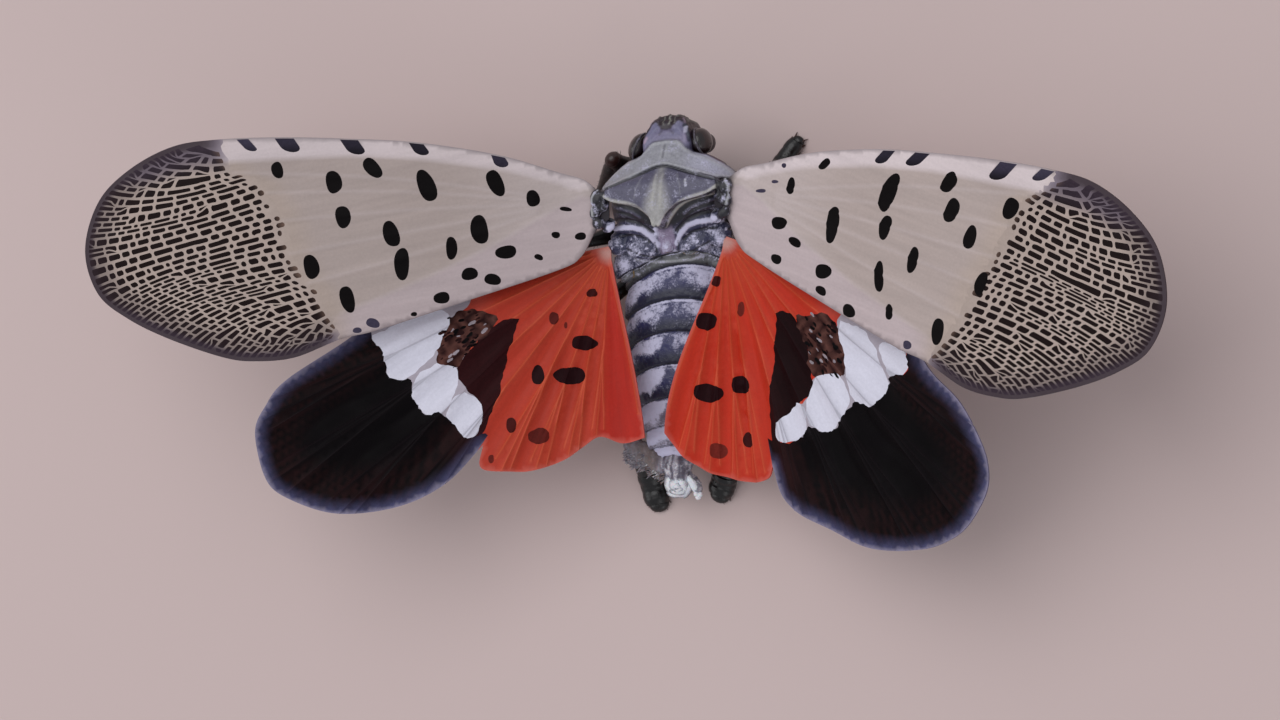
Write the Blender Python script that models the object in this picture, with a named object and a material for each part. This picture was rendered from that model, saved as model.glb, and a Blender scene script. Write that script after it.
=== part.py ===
# Spotted lanternfly, life size, standing on the floor with all four wings spread.
# +Y is ahead, +X is its right side, +Z is up, and the floor is z = 0.
# Lengths are written in millimetres and become metres where a mesh is made.

import math

import bpy
import bmesh
import numpy as np
from mathutils import Matrix, Vector

MM = 0.001
GAP = 0.3

# Trunk
PRONOTUM_FRONT = 8.0
PRONOTUM_REAR = 7.0
PRONOTUM_WIDTH = 5.9
PRONOTUM_TOP = 5.5
CARINA_RISE = 0.09
THORAX_REAR = 2.95
THORAX_TOP = 6.2
BELLY = 2.2
# How much each part draws in below, and between which heights
PRONOTUM_NARROWING = 0.34
THORAX_NARROWING = 0.2
NARROWING_TOP = 4.2
NARROWING_FOOT = 2.35
ABDOMEN_WIDTH = 4.5
ABDOMEN_TOP = 3.68
ABDOMEN_BELLY = 1.1
ABDOMEN_REAR = -5.2
TAIL_TUFT_LENGTH = 1.65
SEGMENTS = 7

# The trunk stands a little askew: its right side is ahead of its left.
SKEW = 0.12
SKEW_ENDS = 0.5
SKEW_STARTS = 4.0

# Edges of the pronotum seen from above, as a fall back from the middle line
FRONT_EDGE_SLOPE = 0.44
CORNER_SLOPE = 0.71
CORNER_START = 1.75
CHEVRON_SLOPE = 0.33

# Where the trunk's own zero stands, so that the box round the whole model is centred
STAND_ACROSS = 0.216
STAND_ALONG = -0.489

# Head
HEAD_WIDTH = 2.2
EYE_SPAN = 3.54
EYE_HEIGHT = 4.25
EYE_ALONG = 7.98
EYE_LENGTH = 0.86
EYE_DEPTH = 1.05

# Face, from the root of the beak up to the crown: how far ahead, how wide, and the cheeks' width
FACE_HEIGHTS = [2.2, 2.6, 3.1, 3.6, 4.2, 4.7, 5.0, 5.2, 5.3]
FACE_FRONTS = [8.2, 8.5, 8.72, 8.88, 9.02, 9.08, 9.06, 8.9, 8.62]
FACE_WIDTHS = [0.4, 0.62, 0.78, 0.8, 0.74, 0.66, 0.58, 0.52, 0.46]
CHEEK_WIDTHS = [0.6, 0.9, 1.1, 1.1, 1.1, 1.1, 1.1, 1.08, 0.98]
KEEL_RISE = 0.08
FACE_LEAN = 0.3
FACE_LEAN_STARTS = 3.8

# Antennae: the bulb hangs beside the cheek, below the eye
ANTENNA_ROOT = (1.66, 8.0, 3.38)
ANTENNA_WAY = (0.05, 0.12, -0.99)
ANTENNA_PLACES = (0.0, 0.12, 0.35, 0.6, 0.75, 1.3, 1.9)
ANTENNA_RADII = (0.2, 0.26, 0.27, 0.25, 0.15, 0.11, 0.05)

# Beak: places along it from the face back, and its radius at each
BEAK_DROP = 0.3
BEAK_PLACES = (8.1, 7.9, 7.3, 6.6, 5.0, 3.4, 2.7)
BEAK_RADII = (0.22, 0.3, 0.3, 0.27, 0.25, 0.24, 0.12)

# Wings
FOREWING_HINGE = (3.0, 5.79, 5.6)
HINDWING_HINGE = (2.5, 3.79, 4.48)
ROOT_SLACK = 0.08
MEMBRANE = 0.5
VEIN_RISE = 0.14
VEIN_UNDERSIDE_RISE = 0.05
VEIN_HALF_WIDTH = 0.17
MARGIN_SHARE = 0.55
WING_DROOP = math.radians(8.0)
RAISE_RUN = 1.5
WING_REACH = 21.15
PLEAT_DEPTH = 0.18
FOREWING_STATIONS = 20
HINDWING_STATIONS = 10

# Each wing climbs from its root, is swept back, and is turned down behind
WING_RAISE = {"left": math.radians(20.0), "right": math.radians(23.0)}
SWEEP = {"left": math.radians(2.45), "right": math.radians(4.1)}
TWIST = {"left": 0.0, "right": math.radians(5.5)}
SIDES = {"left": -1, "right": 1}

# Forewing outline in mm: out from the hinge, ahead of the hinge
COSTAL_EDGE = [
    (0.0, 0.35), (0.45, 0.8), (1.4, 1.17), (3.9, 1.9), (7.25, 2.4),
    (10.2, 2.55), (13.0, 2.6), (15.6, 2.5), (17.5, 2.2),
]
OUTER_EDGE = [
    (17.5, 2.2), (19.3, 1.25), (20.6, -0.1), (21.15, -2.1),
    (20.6, -3.9), (19.3, -4.95), (17.5, -5.8), (15.2, -6.55),
]
TRAILING_EDGE = [
    (0.0, -1.4), (0.5, -2.3), (1.4, -2.85), (4.9, -4.05), (8.8, -5.35),
    (10.4, -5.75), (12.25, -6.5), (13.8, -6.68), (15.2, -6.55),
]
# Main veins of the forewing: share of the chord behind the costal edge, at root and end
FOREWING_VEINS = [(0.14, 0.12), (0.3, 0.32), (0.46, 0.52), (0.62, 0.72), (0.8, 0.87)]

# Hindwing outline in mm from its root: radius at each angle, from straight back outwards
HINDWING_OUTLINE = {
    "left": [
        (-11.5, 7.95), (-4.0, 8.05), (3.7, 7.8), (12.0, 8.9), (19.0, 9.7),
        (24.0, 10.1), (30.5, 10.55), (33.0, 9.7), (35.0, 11.9), (39.5, 13.85), (46.0, 15.75),
        (52.8, 16.85), (57.0, 16.95), (62.6, 16.4), (65.5, 15.5), (68.0, 14.4), (72.0, 11.0), (80.0, 9.2),
    ],
    "right": [
        (-13.1, 8.5), (-8.5, 9.05), (-3.3, 9.45), (2.6, 9.75), (12.0, 10.05), (17.4, 10.0), (19.2, 9.55),
        (21.1, 11.05), (29.2, 12.65), (37.4, 14.5), (45.1, 15.8), (49.5, 16.3), (53.8, 16.55), (57.9, 16.35),
        (61.5, 15.9), (64.2, 15.15), (67.7, 13.35), (70.0, 11.2), (78.0, 9.2),
    ],
}
HINDWING_VEINS = {
    "left": [3.7, 11.0, 18.5, 26.5, 37.0, 46.0, 55.0, 64.0, 76.0],
    "right": [-6.0, 1.5, 9.0, 15.0, 25.5, 36.0, 45.5, 54.5, 64.0],
}
INNER_BOW = {"left": 0.1, "right": 0.35}
HINDWING_ROOT_CHORD = 0.9
HINDWING_ROOT_SLANT = 0.45
BOSS_HALF_DEPTH = 0.3

# Legs: points from the hip out, in mm as for the right side
LEG_PATHS = {
    ("fore", "right"): [(1.2, 6.4), (1.95, 6.5), (3.3, 6.1, 3.3), (3.45, 7.0, 0.55), (4.15, 8.15)],
    ("fore", "left"): [(1.2, 6.4), (1.9, 6.7), (2.95, 7.6, 3.3), (4.7, 6.2, 0.55), (5.95, 5.85)],
    ("mid", "right"): [(1.2, 5.0), (1.95, 4.9), (4.4, 4.4, 3.3), (6.4, 2.3, 0.55), (7.5, 1.1)],
    ("mid", "left"): [(1.2, 5.0), (1.95, 4.9), (4.3, 4.2, 3.3), (6.2, 2.0, 0.55), (7.2, 0.7)],
    ("hind", "right"): [(1.2, 3.5), (1.85, 3.15), (4.2, 0.3, 3.0), (1.85, -5.65, 0.65), (1.5, -6.85)],
    ("hind", "left"): [(1.2, 3.5), (1.85, 3.15), (4.2, 0.3, 3.0), (1.85, -5.75, 0.65), (1.35, -7.1)],
}
HIP_JOINT_Z = 1.32
SOLE_AXIS_Z = 0.22
COXA_RADII = (0.46, 0.4)
FEMUR_RADII = (0.3, 0.4, 0.42, 0.3)
TIBIA_RADII = {"fore": (0.3, 0.28, 0.28), "mid": (0.3, 0.27, 0.28), "hind": (0.32, 0.28, 0.4)}
TARSUS_RADII = (0.27, 0.29, 0.25, 0.28, 0.26, 0.27, 0.12)
TARSUS_PLACES = (0.0, 0.2, 0.38, 0.5, 0.64, 0.84, 1.0)
HIND_FOOT_STOUTNESS = 1.3
TIBIA_SPINES = (0.28, 0.46, 0.64, 0.82)
SPINE_ROOT = 0.14
SPINE_LENGTH = 0.55
SPINE_RADIUS = 0.13
CLAW_LENGTH = 0.42
CLAW_RADIUS = 0.12
CLAW_SPREAD = 0.5

COLOURS = {
    "cuticle_grey": ((0.27, 0.27, 0.31), 0.55),
    "cuticle_black": ((0.02, 0.018, 0.02), 0.4),
    "wax_white": ((0.62, 0.6, 0.66), 0.85),
    "abdomen_blue": ((0.09, 0.09, 0.18), 0.6),
    "eye_brown": ((0.05, 0.03, 0.03), 0.2),
    "antenna_orange": ((0.75, 0.2, 0.03), 0.5),
    "forewing_grey": ((0.42, 0.36, 0.33), 0.5),
    "hindwing_red": ((0.45, 0.05, 0.03), 0.5),
}


def smooth_step(low, high, value):
    share = min(1.0, max(0.0, (value - low) / (high - low)))
    return share * share * (3.0 - 2.0 * share)


def posed(u, along, z):
    """A point of the trunk, in metres, after the trunk's slight skew."""
    skew = SKEW * smooth_step(SKEW_ENDS, SKEW_STARTS, along)
    return Vector((u, along + skew * u, z)) * MM


def spline(points, count):
    """Evenly spread points on a smooth curve through the given ones."""
    knots = [np.array(p, float) for p in points]
    knots = [2 * knots[0] - knots[1]] + knots + [2 * knots[-1] - knots[-2]]
    dense = []
    for a, b, c, d in zip(knots, knots[1:], knots[2:], knots[3:]):
        for t in np.linspace(0.0, 1.0, 12, endpoint=False):
            dense.append(0.5 * (2 * b + (c - a) * t + (2 * a - 5 * b + 4 * c - d) * t ** 2
                                + (3 * b - a - 3 * c + d) * t ** 3))
    dense.append(knots[-2])
    dense = np.array(dense)
    run = np.concatenate([[0.0], np.cumsum(np.linalg.norm(np.diff(dense, axis=0), axis=1))])
    wanted = np.linspace(0.0, run[-1], count)
    return np.stack([np.interp(wanted, run, dense[:, k]) for k in range(dense.shape[1])], axis=1)


def finish_mesh(name, verts, faces, colour, sharp=35.0):
    """One named object with its own material, closed, faces out, shaded smooth."""
    mesh = bpy.data.meshes.new(name)
    mesh.from_pydata([tuple(v) for v in verts], [], faces)
    work = bmesh.new()
    work.from_mesh(mesh)
    bmesh.ops.recalc_face_normals(work, faces=work.faces)
    bmesh.ops.triangulate(work, faces=work.faces)
    work.to_mesh(mesh)
    work.free()
    mesh.shade_smooth()
    mesh.set_sharp_from_angle(angle=math.radians(sharp))
    piece = bpy.data.objects.new(name, mesh)
    bpy.context.scene.collection.objects.link(piece)
    rgb, roughness = COLOURS[colour]
    material = bpy.data.materials.new(name)
    material.use_nodes = True
    shader = material.node_tree.nodes["Principled BSDF"]
    shader.inputs["Base Color"].default_value = (*rgb, 1.0)
    shader.inputs["Roughness"].default_value = roughness
    shader.inputs["Metallic"].default_value = 0.0
    mesh.materials.append(material)
    return piece


def loft(name, rings, colour, sharp=35.0):
    """A closed solid through rings of equal point count, with flat or domed ends."""
    count = len(rings[0])
    verts = [p for ring in rings for p in ring]
    faces = []
    for row in range(len(rings) - 1):
        for k in range(count):
            a = row * count + k
            b = row * count + (k + 1) % count
            faces.append((a, b, b + count, a + count))
    faces.append(tuple(range(count - 1, -1, -1)))
    last = (len(rings) - 1) * count
    faces.append(tuple(range(last, last + count)))
    return finish_mesh(name, verts, faces, colour, sharp)


def join(name, pieces, colour, sharp=35.0):
    """One Boolean union of closed pieces, which keeps its largest closed surface."""
    body = pieces[0]
    extras = bpy.data.collections.new(name + "_extras")
    for piece in pieces[1:]:
        extras.objects.link(piece)
    union = body.modifiers.new("union", "BOOLEAN")
    union.operation = "UNION"
    union.operand_type = "COLLECTION"
    union.collection = extras
    union.solver = "EXACT"
    graph = bpy.context.evaluated_depsgraph_get()
    mesh = bpy.data.meshes.new_from_object(body.evaluated_get(graph))
    for piece in pieces:
        bpy.data.objects.remove(piece)
    bpy.data.collections.remove(extras)
    work = bmesh.new()
    work.from_mesh(mesh)
    bmesh.ops.remove_doubles(work, verts=work.verts, dist=0.002 * MM)
    keep_largest(work)
    verts = [v.co.copy() for v in work.verts]
    faces = [tuple(v.index for v in f.verts) for f in work.faces]
    work.free()
    return finish_mesh(name, verts, faces, colour, sharp)


def keep_largest(work):
    """Drops every closed surface of a mesh but the largest."""
    left = set(work.verts)
    groups = []
    while left:
        seed = left.pop()
        group = {seed}
        edge = [seed]
        while edge:
            for link in edge.pop().link_edges:
                for v in link.verts:
                    if v in left:
                        left.remove(v)
                        group.add(v)
                        edge.append(v)
        groups.append(group)
    groups.sort(key=len)
    loose = [v for group in groups[:-1] for v in group]
    bmesh.ops.delete(work, geom=loose, context="VERTS")
    work.verts.index_update()


def cross_section(half_width, top, bottom, count, flat_belly=2.0, crown=2.0):
    """Points (u, z) of a rounded section: crown shapes the back, flat_belly the underside."""
    middle = 0.5 * (top + bottom)
    points = []
    for k in range(count):
        angle = 2.0 * math.pi * k / count
        c, s = math.cos(angle), math.sin(angle)
        power = 2.0 / (crown if s >= 0 else flat_belly)
        u = half_width * math.copysign(abs(c) ** power, c)
        z = middle + 0.5 * (top - bottom) * math.copysign(abs(s) ** power, s)
        points.append((u, z))
    return points


def front_edge(u):
    return -FRONT_EDGE_SLOPE * abs(u) - (CORNER_SLOPE - FRONT_EDGE_SLOPE) * max(0.0, abs(u) - CORNER_START)


def chevron(u):
    return -CHEVRON_SLOPE * abs(u)


def ellipsoid(name, centre, radii, colour, rows=6, columns=12):
    """A closed rounded lump used inside a union."""
    rings = []
    for row in range(1, rows):
        lean = math.pi * row / rows
        ring = []
        for k in range(columns):
            turn = 2.0 * math.pi * k / columns
            ring.append(posed(centre[0] + radii[0] * math.sin(lean) * math.cos(turn),
                              centre[1] + radii[1] * math.sin(lean) * math.sin(turn),
                              centre[2] + radii[2] * math.cos(lean)))
        rings.append(ring)
    return loft(name, rings, colour)


def boss(sign, hinge, inner, chord, slant):
    """The block that a wing's root faces; slant draws in its outer side towards the rear."""
    outer = hinge[0] - GAP - ROOT_SLACK
    corners = [(inner, chord[0]), (outer - slant, chord[0]), (outer, chord[1]), (inner, chord[1])]
    rings = []
    for z in (hinge[2] - BOSS_HALF_DEPTH, hinge[2] + BOSS_HALF_DEPTH):
        rings.append([posed(sign * u, hinge[1] + along, z) for u, along in corners])
    return loft("boss", rings, "cuticle_grey")


def face_ring(z):
    """Outline of the head at one height, (u, y): cheeks, keeled face, and a rear like the collar's front."""
    front = float(np.interp(z, FACE_HEIGHTS, FACE_FRONTS))
    face = float(np.interp(z, FACE_HEIGHTS, FACE_WIDTHS))
    cheek = float(np.interp(z, FACE_HEIGHTS, CHEEK_WIDTHS))
    rear = PRONOTUM_FRONT + GAP - FACE_LEAN * max(0.0, FACE_LEAN_STARTS - z)
    half = [
        (0.0, front), (0.12, front), (0.2, front + KEEL_RISE), (0.3, front - 0.01),
        (face - 0.1, front - 0.12), (face, front - 0.06), (face + 0.08, front - 0.3),
        (cheek, 0.5 * (front + rear) - 0.3), (cheek, rear + front_edge(cheek)),
        (0.5 * cheek, rear + front_edge(0.5 * cheek)),
    ]
    other = [(-u, y) for u, y in reversed(half[1:])]
    return half + [(0.0, rear)] + other


def make_head():
    """Flat-crowned head whose keeled face slopes down and back to the root of the beak."""
    rings = [[posed(u, y, z) for u, y in face_ring(z)] for z in FACE_HEIGHTS]
    loft("head", rings, "cuticle_grey")


def make_eyes():
    """Domed compound eyes on the flat sides of the head."""
    inner = 0.5 * HEAD_WIDTH + GAP
    outer = 0.5 * EYE_SPAN
    for side, sign in SIDES.items():
        rings = []
        for share in (0.0, 0.35, 0.7, 0.93):
            size = math.sqrt(1.0 - share ** 2)
            ring = []
            for k in range(16):
                turn = 2.0 * math.pi * k / 16
                ring.append(posed(sign * (inner + share * (outer - inner)),
                                  EYE_ALONG + 0.5 * EYE_LENGTH * size * math.cos(turn),
                                  EYE_HEIGHT + 0.5 * EYE_DEPTH * size * math.sin(turn)))
            rings.append(ring)
        loft("eye_" + side, rings, "eye_brown")


def tube_rings(points, radii, sides=10):
    """Rings of a straight or gently bent tube through points."""
    rings = []
    for k, (point, radius) in enumerate(zip(points, radii)):
        before = points[max(0, k - 1)]
        after = points[min(len(points) - 1, k + 1)]
        way = (after - before).normalized()
        across = way.cross(Vector((0, 0, 1)))
        if across.length < 0.05:
            across = Vector((1, 0, 0))
        across.normalize()
        up = across.cross(way)
        rings.append([point + radius * (math.cos(a) * across + math.sin(a) * up)
                      for a in (2.0 * math.pi * s / sides for s in range(sides))])
    return rings


def make_antennae():
    """A bulb below each eye that ends in a fine bristle."""
    for side, sign in SIDES.items():
        root = Vector((sign * ANTENNA_ROOT[0], ANTENNA_ROOT[1], ANTENNA_ROOT[2]))
        way = Vector((sign * ANTENNA_WAY[0], ANTENNA_WAY[1], ANTENNA_WAY[2])).normalized()
        rings = tube_rings([root + way * p for p in ANTENNA_PLACES], ANTENNA_RADII)
        loft("antenna_" + side, [[posed(*p) for p in ring] for ring in rings], "antenna_orange")


def make_beak():
    """The long beak lies along the middle line under the thorax."""
    points = [Vector((0.0, along, BELLY - GAP - BEAK_DROP)) for along in BEAK_PLACES]
    rings = tube_rings(points, BEAK_RADII)
    loft("beak", [[posed(*p) for p in ring] for ring in rings], "cuticle_black")


def make_pronotum():
    """Saddle-shaped collar: slanted front edges, and a chevron behind."""
    rings = []
    sizes = [(0.0, 0.93, -0.25), (0.2, 0.98, -0.05), (0.6, 1.0, 0.0), (1.0, 1.0, 0.0)]
    for share, width, rise in sizes:
        ring = []
        for u, z in cross_section(0.5 * PRONOTUM_WIDTH * width, PRONOTUM_TOP + rise, BELLY, 28,
                                  flat_belly=4.0, crown=2.3):
            if abs(u) < 0.01 and z > EYE_HEIGHT:
                z += CARINA_RISE
            u *= 1.0 - PRONOTUM_NARROWING * smooth_step(NARROWING_TOP, NARROWING_FOOT, z)
            ahead = PRONOTUM_FRONT + front_edge(u) - FACE_LEAN * max(0.0, FACE_LEAN_STARTS - z)
            behind = PRONOTUM_REAR + chevron(u)
            ring.append(posed(u, ahead + share * (behind - ahead), z))
        rings.append(ring)
    loft("pronotum", rings, "cuticle_grey")


def make_thorax():
    """Mesothorax and metathorax with the shield, wing bosses and rear plates."""
    front = PRONOTUM_REAR - 1.25 * GAP
    stations = [
        (front, 2.62, 5.6, 1.0), (6.0, 2.55, 5.85, 0.7), (5.2, 2.45, 5.75, 0.2), (4.5, 2.25, 5.2, 0.0),
        (3.9, 2.0, 4.8, 0.0), (3.3, 1.75, 4.25, 0.0), (THORAX_REAR, 1.5, 3.9, 0.0),
    ]
    rings = []
    for along, half_width, top, share in stations:
        ring = []
        for u, z in cross_section(half_width, top, BELLY, 28, flat_belly=5.0, crown=2.5):
            u *= 1.0 - THORAX_NARROWING * smooth_step(NARROWING_TOP, NARROWING_FOOT, z)
            ring.append(posed(u, along + share * chevron(u), z))
        rings.append(ring)
    trunk = loft("trunk", rings, "cuticle_grey")
    parts = [trunk, make_shield()]
    for sign in (-1, 1):
        parts.append(boss(sign, FOREWING_HINGE, 1.5, (-1.45, 0.4), 0.0))
        parts.append(boss(sign, HINDWING_HINGE, 1.1, (-0.82, 0.18), HINDWING_ROOT_SLANT))
        parts.append(ellipsoid("plate", (sign * 1.05, 3.95, 4.72), (0.95, 0.5, 0.32), "cuticle_grey"))
        parts.append(ellipsoid("tegula", (sign * 2.3, 5.45, 5.72), (0.38, 0.62, 0.36), "cuticle_grey", 5, 10))
    parts.append(ellipsoid("plate", (0.0, 3.75, 4.75), (0.4, 0.45, 0.28), "cuticle_grey"))
    join("thorax", parts, "cuticle_grey")


def make_shield():
    """The diamond-shaped shield of the mesothorax, drawn out behind into a point."""
    outline = [(6.64, 0.2), (6.35, 1.15), (6.0, 2.3), (5.78, 2.5), (5.6, 1.95), (5.45, 1.25),
               (5.25, 0.75), (4.9, 0.38), (4.5, 0.14)]
    rings = []
    for along, half_width in outline:
        top = THORAX_TOP - 0.1 * (along - 5.5) ** 2
        ring = [(-half_width, 4.7), (half_width, 4.7)]
        for share in (1.0, 0.6, 0.2, 0.0, -0.2, -0.6, -1.0):
            carina = CARINA_RISE if share == 0.0 else 0.0
            ring.append((half_width * share, top - 0.3 * share ** 2 * half_width / 2.5 + carina))
        rings.append([posed(u, along, z) for u, z in ring])
    return loft("shield", rings, "cuticle_grey")


def abdomen_size(along):
    """Half width, top and bottom of the abdomen at a place along it."""
    places = [ABDOMEN_REAR, -4.0, -2.5, -1.0, 0.5, 1.8, THORAX_REAR - GAP]
    widths = [0.42, 0.62, 0.84, 0.97, 1.0, 0.93, 0.72]
    tops = [0.66, 0.76, 0.87, 0.95, 1.0, 1.0, 1.0]
    bellies = [1.7, 1.45, 1.15, 1.0, 1.0, 1.2, 1.75]
    half_width = 0.5 * ABDOMEN_WIDTH * np.interp(along, places, widths)
    top = ABDOMEN_TOP * np.interp(along, places, tops)
    return half_width, top, ABDOMEN_BELLY * np.interp(along, places, bellies)


def make_abdomen():
    """Overlapping rings: each one widens to its rear edge, and the next starts inside it."""
    front = THORAX_REAR - GAP
    length = (front - ABDOMEN_REAR) / SEGMENTS
    rings = []
    for segment in range(SEGMENTS):
        for share, tuck in ((0.0, 0.14), (0.55, 0.03), (0.97, 0.0)):
            along = front - length * (segment + share)
            half_width, top, bottom = abdomen_size(along)
            rings.append([posed(u, along, z) for u, z in
                          cross_section(half_width - tuck, top - tuck, bottom + tuck, 22, flat_belly=2.4)])
    loft("abdomen", rings, "abdomen_blue", sharp=25.0)


def make_tail_tuft():
    """The waxy lobes round the end of the abdomen."""
    start = ABDOMEN_REAR - GAP
    middle = 2.2
    parts = []
    rings = []
    for share, radius in ((0.0, 0.62), (0.35, 0.72), (0.7, 0.62), (1.0, 0.3)):
        along = start - 0.75 * TAIL_TUFT_LENGTH * share
        rings.append([posed(0.1 + 0.2 * share + u, along, z) for u, z in
                      cross_section(radius, middle + radius * 0.85, middle - radius * 0.85, 12)])
    parts.append(loft("tuft_core", rings, "wax_white"))
    for k in range(6):
        turn = 2.0 * math.pi * (k + 0.25) / 6
        centre = (0.35 + 0.55 * math.cos(turn), start - 1.05, middle + 0.42 * math.sin(turn))
        parts.append(ellipsoid("lobe", centre, (0.36, 0.5, 0.3), "wax_white", 5, 8))
    join("tail_tuft", parts, "wax_white")


def climb(side, out):
    """How steeply a wing climbs at a distance out along it."""
    out = np.clip(out, 0.0, None)
    return WING_RAISE[side] * np.clip(out / RAISE_RUN, 0.0, 1.0) - WING_DROOP * out / WING_REACH


def bend(side, reach):
    """Where a wing's bend takes a point that far out, and how steeply it climbs there."""
    steps = np.linspace(0.0, reach, 41)
    slopes = climb(side, 0.5 * (steps[1:] + steps[:-1]))
    stride = reach / 40
    out = float(np.sum(np.cos(slopes)) * stride)
    rise = float(np.sum(np.sin(slopes)) * stride)
    return out, rise, float(climb(side, reach))


def wing_point(side, hinge, x, y, lift, bend_from=0.0):
    """Chart of a flat wing (out, ahead, above) to its place on the body, in metres."""
    out, rise, slope = bend(side, x - bend_from)
    p = Vector((bend_from + out - lift * math.sin(slope), y, rise + lift * math.cos(slope)))
    p = Matrix.Rotation(TWIST[side], 3, "X") @ p
    p = Matrix.Rotation(-SWEEP[side], 3, "Z") @ p
    return Vector((SIDES[side] * (hinge[0] + p.x), hinge[1] + SIDES[side] * SKEW * hinge[0] + p.y,
                   hinge[2] + p.z)) * MM


def sheet(name, side, hinge, grid, colour, bend_from=0.0):
    """A closed vane from a grid of (x, y, fall, ridge), split alike on both faces."""
    rows, columns = len(grid), len(grid[0])
    verts = []
    for face in (1, -1):
        rise = VEIN_RISE if face > 0 else VEIN_UNDERSIDE_RISE
        for row, line in enumerate(grid):
            for column, (x, y, fall, ridge) in enumerate(line):
                margin = row == rows - 1 or column in (0, columns - 1)
                half = 0.5 * MEMBRANE * (MARGIN_SHARE if margin else 1.0)
                verts.append(wing_point(side, hinge, x, y, fall + face * (half + ridge * rise), bend_from))
    faces = []
    under = rows * columns
    for r in range(rows - 1):
        for c in range(columns - 1):
            a = r * columns + c
            b, d, e = a + 1, a + columns, a + columns + 1
            faces += [(a, b, e), (a, e, d)]
            faces += [(under + a, under + e, under + b), (under + a, under + d, under + e)]
    rim = [c for c in range(columns)]
    rim += [r * columns + columns - 1 for r in range(1, rows)]
    rim += [(rows - 1) * columns + c for c in range(columns - 2, -1, -1)]
    rim += [r * columns for r in range(rows - 2, 0, -1)]
    for a, b in zip(rim, rim[1:] + rim[:1]):
        faces += [(a, under + b, b), (a, under + a, under + b)]
    return finish_mesh(name, verts, faces, colour, 50.0)


def forewing_grid():
    """Rows run across the wing; columns follow the veins from root to outer edge."""
    rows = FOREWING_STATIONS
    lead = spline(COSTAL_EDGE, rows)
    trail = spline(TRAILING_EDGE, rows)
    dense_outer = spline(OUTER_EDGE, 60)
    root = (lead[0], trail[0])
    grid = []
    for r in range(rows):
        t = r / (rows - 1)
        chord = np.linalg.norm(lead[r] - trail[r])
        foot = min(VEIN_HALF_WIDTH, 0.05 * chord) / chord
        shares = {0.0: 0.0, 1.0: 0.0}
        crests = [(a + (b - a) * t) for a, b in FOREWING_VEINS]
        for crest in crests:
            shares[crest - foot] = 0.0
            shares[crest] = smooth_step(0.0, 0.15, t) * (1.0 - 0.7 * smooth_step(0.7, 1.0, t))
            shares[crest + foot] = 0.0
        edges = [0.0] + crests + [1.0]
        for a, b in zip(edges, edges[1:]):
            shares[0.5 * (a + b)] = 0.0
        line = []
        for share in sorted(shares):
            outer = np.array([np.interp(share, np.linspace(0, 1, 60), dense_outer[:, k]) for k in (0, 1)])
            straight = lead[r] + (trail[r] - lead[r]) * share
            base = root[0] + (root[1] - root[0]) * share
            corner = ((1 - share) * lead[-1] + share * trail[-1])
            point = straight + (base + (outer - base) * t) - (base + (corner - base) * t)
            camber = -0.25 * (2.0 * share - 1.0) ** 2 * smooth_step(0.0, 0.3, t)
            line.append((point[0], point[1], camber, shares[share]))
        grid.append(line)
    return grid


def hindwing_grid(side):
    """Rows run out along the wing; columns are the rays of the fan."""
    outline = HINDWING_OUTLINE[side]
    angles = [a for a, r in outline]
    radii = [r for a, r in outline]
    veins = HINDWING_VEINS[side]
    columns = {angles[0]: (0.0, 0.0), angles[-1]: (0.0, 0.0)}
    for vein in veins:
        reach = np.interp(vein, angles, radii)
        foot = math.degrees(VEIN_HALF_WIDTH / reach)
        for offset, ridge in ((-foot, 0.0), (0.0, 1.0), (foot, 0.0)):
            columns[vein + offset] = (ridge, 0.0)
    for a, b in zip(veins, veins[1:]):
        columns[0.5 * (a + b)] = (0.0, 1.0)
    for a in angles:
        if min(abs(a - c) for c in columns) > 0.8:
            columns[a] = (0.0, 0.5)
    grid = []
    rays = sorted(columns)
    for row in range(HINDWING_STATIONS):
        share = row / (HINDWING_STATIONS - 1)
        line = []
        for ray in rays:
            ridge, fold = columns[ray]
            place = (ray - rays[0]) / (rays[-1] - rays[0])
            start = np.array((-HINDWING_ROOT_SLANT * (1.0 - place), HINDWING_ROOT_CHORD * (place - 0.85)))
            reach = np.interp(ray, angles, radii)
            turn = math.radians(ray)
            end = np.array((reach * math.sin(turn), -reach * math.cos(turn)))
            bow = 6.75 * share ** 2 * (1.0 - share) * smooth_step(0.3, 0.0, place)
            point = start + (end - start) * share - np.array((INNER_BOW[side] * bow, 0.0))
            fall = -fold * PLEAT_DEPTH * smooth_step(0.0, 0.6, share)
            line.append((point[0], point[1], fall, ridge * smooth_step(0.0, 0.2, share)))
        grid.append(line)
    return grid


def make_wings():
    """Two leathery forewings, and under them two broad fan-shaped hindwings."""
    inset = FOREWING_HINGE[0] - HINDWING_HINGE[0]
    for side in SIDES:
        sheet("forewing_" + side, side, FOREWING_HINGE, forewing_grid(), "forewing_grey")
        sheet("hindwing_" + side, side, HINDWING_HINGE, hindwing_grid(side), "hindwing_red", inset)


def joint_rings(start, end, radii, start_normal, end_normal, sides=10):
    """Rings of a leg segment whose ends are cut on its joints' planes, half a gap short."""
    way = (end - start).normalized()
    across = way.cross(Vector((0, 0, 1)))
    across.normalize()
    up = across.cross(way)
    rings = []
    last = len(radii) - 1
    for k, radius in enumerate(radii):
        centre = start + (end - start) * (k / last)
        normal = start_normal if k == 0 else end_normal if k == last else way
        pull = 0.0
        if k == 0:
            pull = 0.5 * GAP / abs(normal.dot(way))
        if k == last:
            pull = -0.5 * GAP / abs(normal.dot(way))
        ring = []
        for s in range(sides):
            turn = 2.0 * math.pi * s / sides
            offset = radius * (math.cos(turn) * across + math.sin(turn) * up)
            slide = -offset.dot(normal) / way.dot(normal)
            ring.append(centre + offset + way * (slide + pull))
        rings.append(ring)
    return rings


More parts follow.
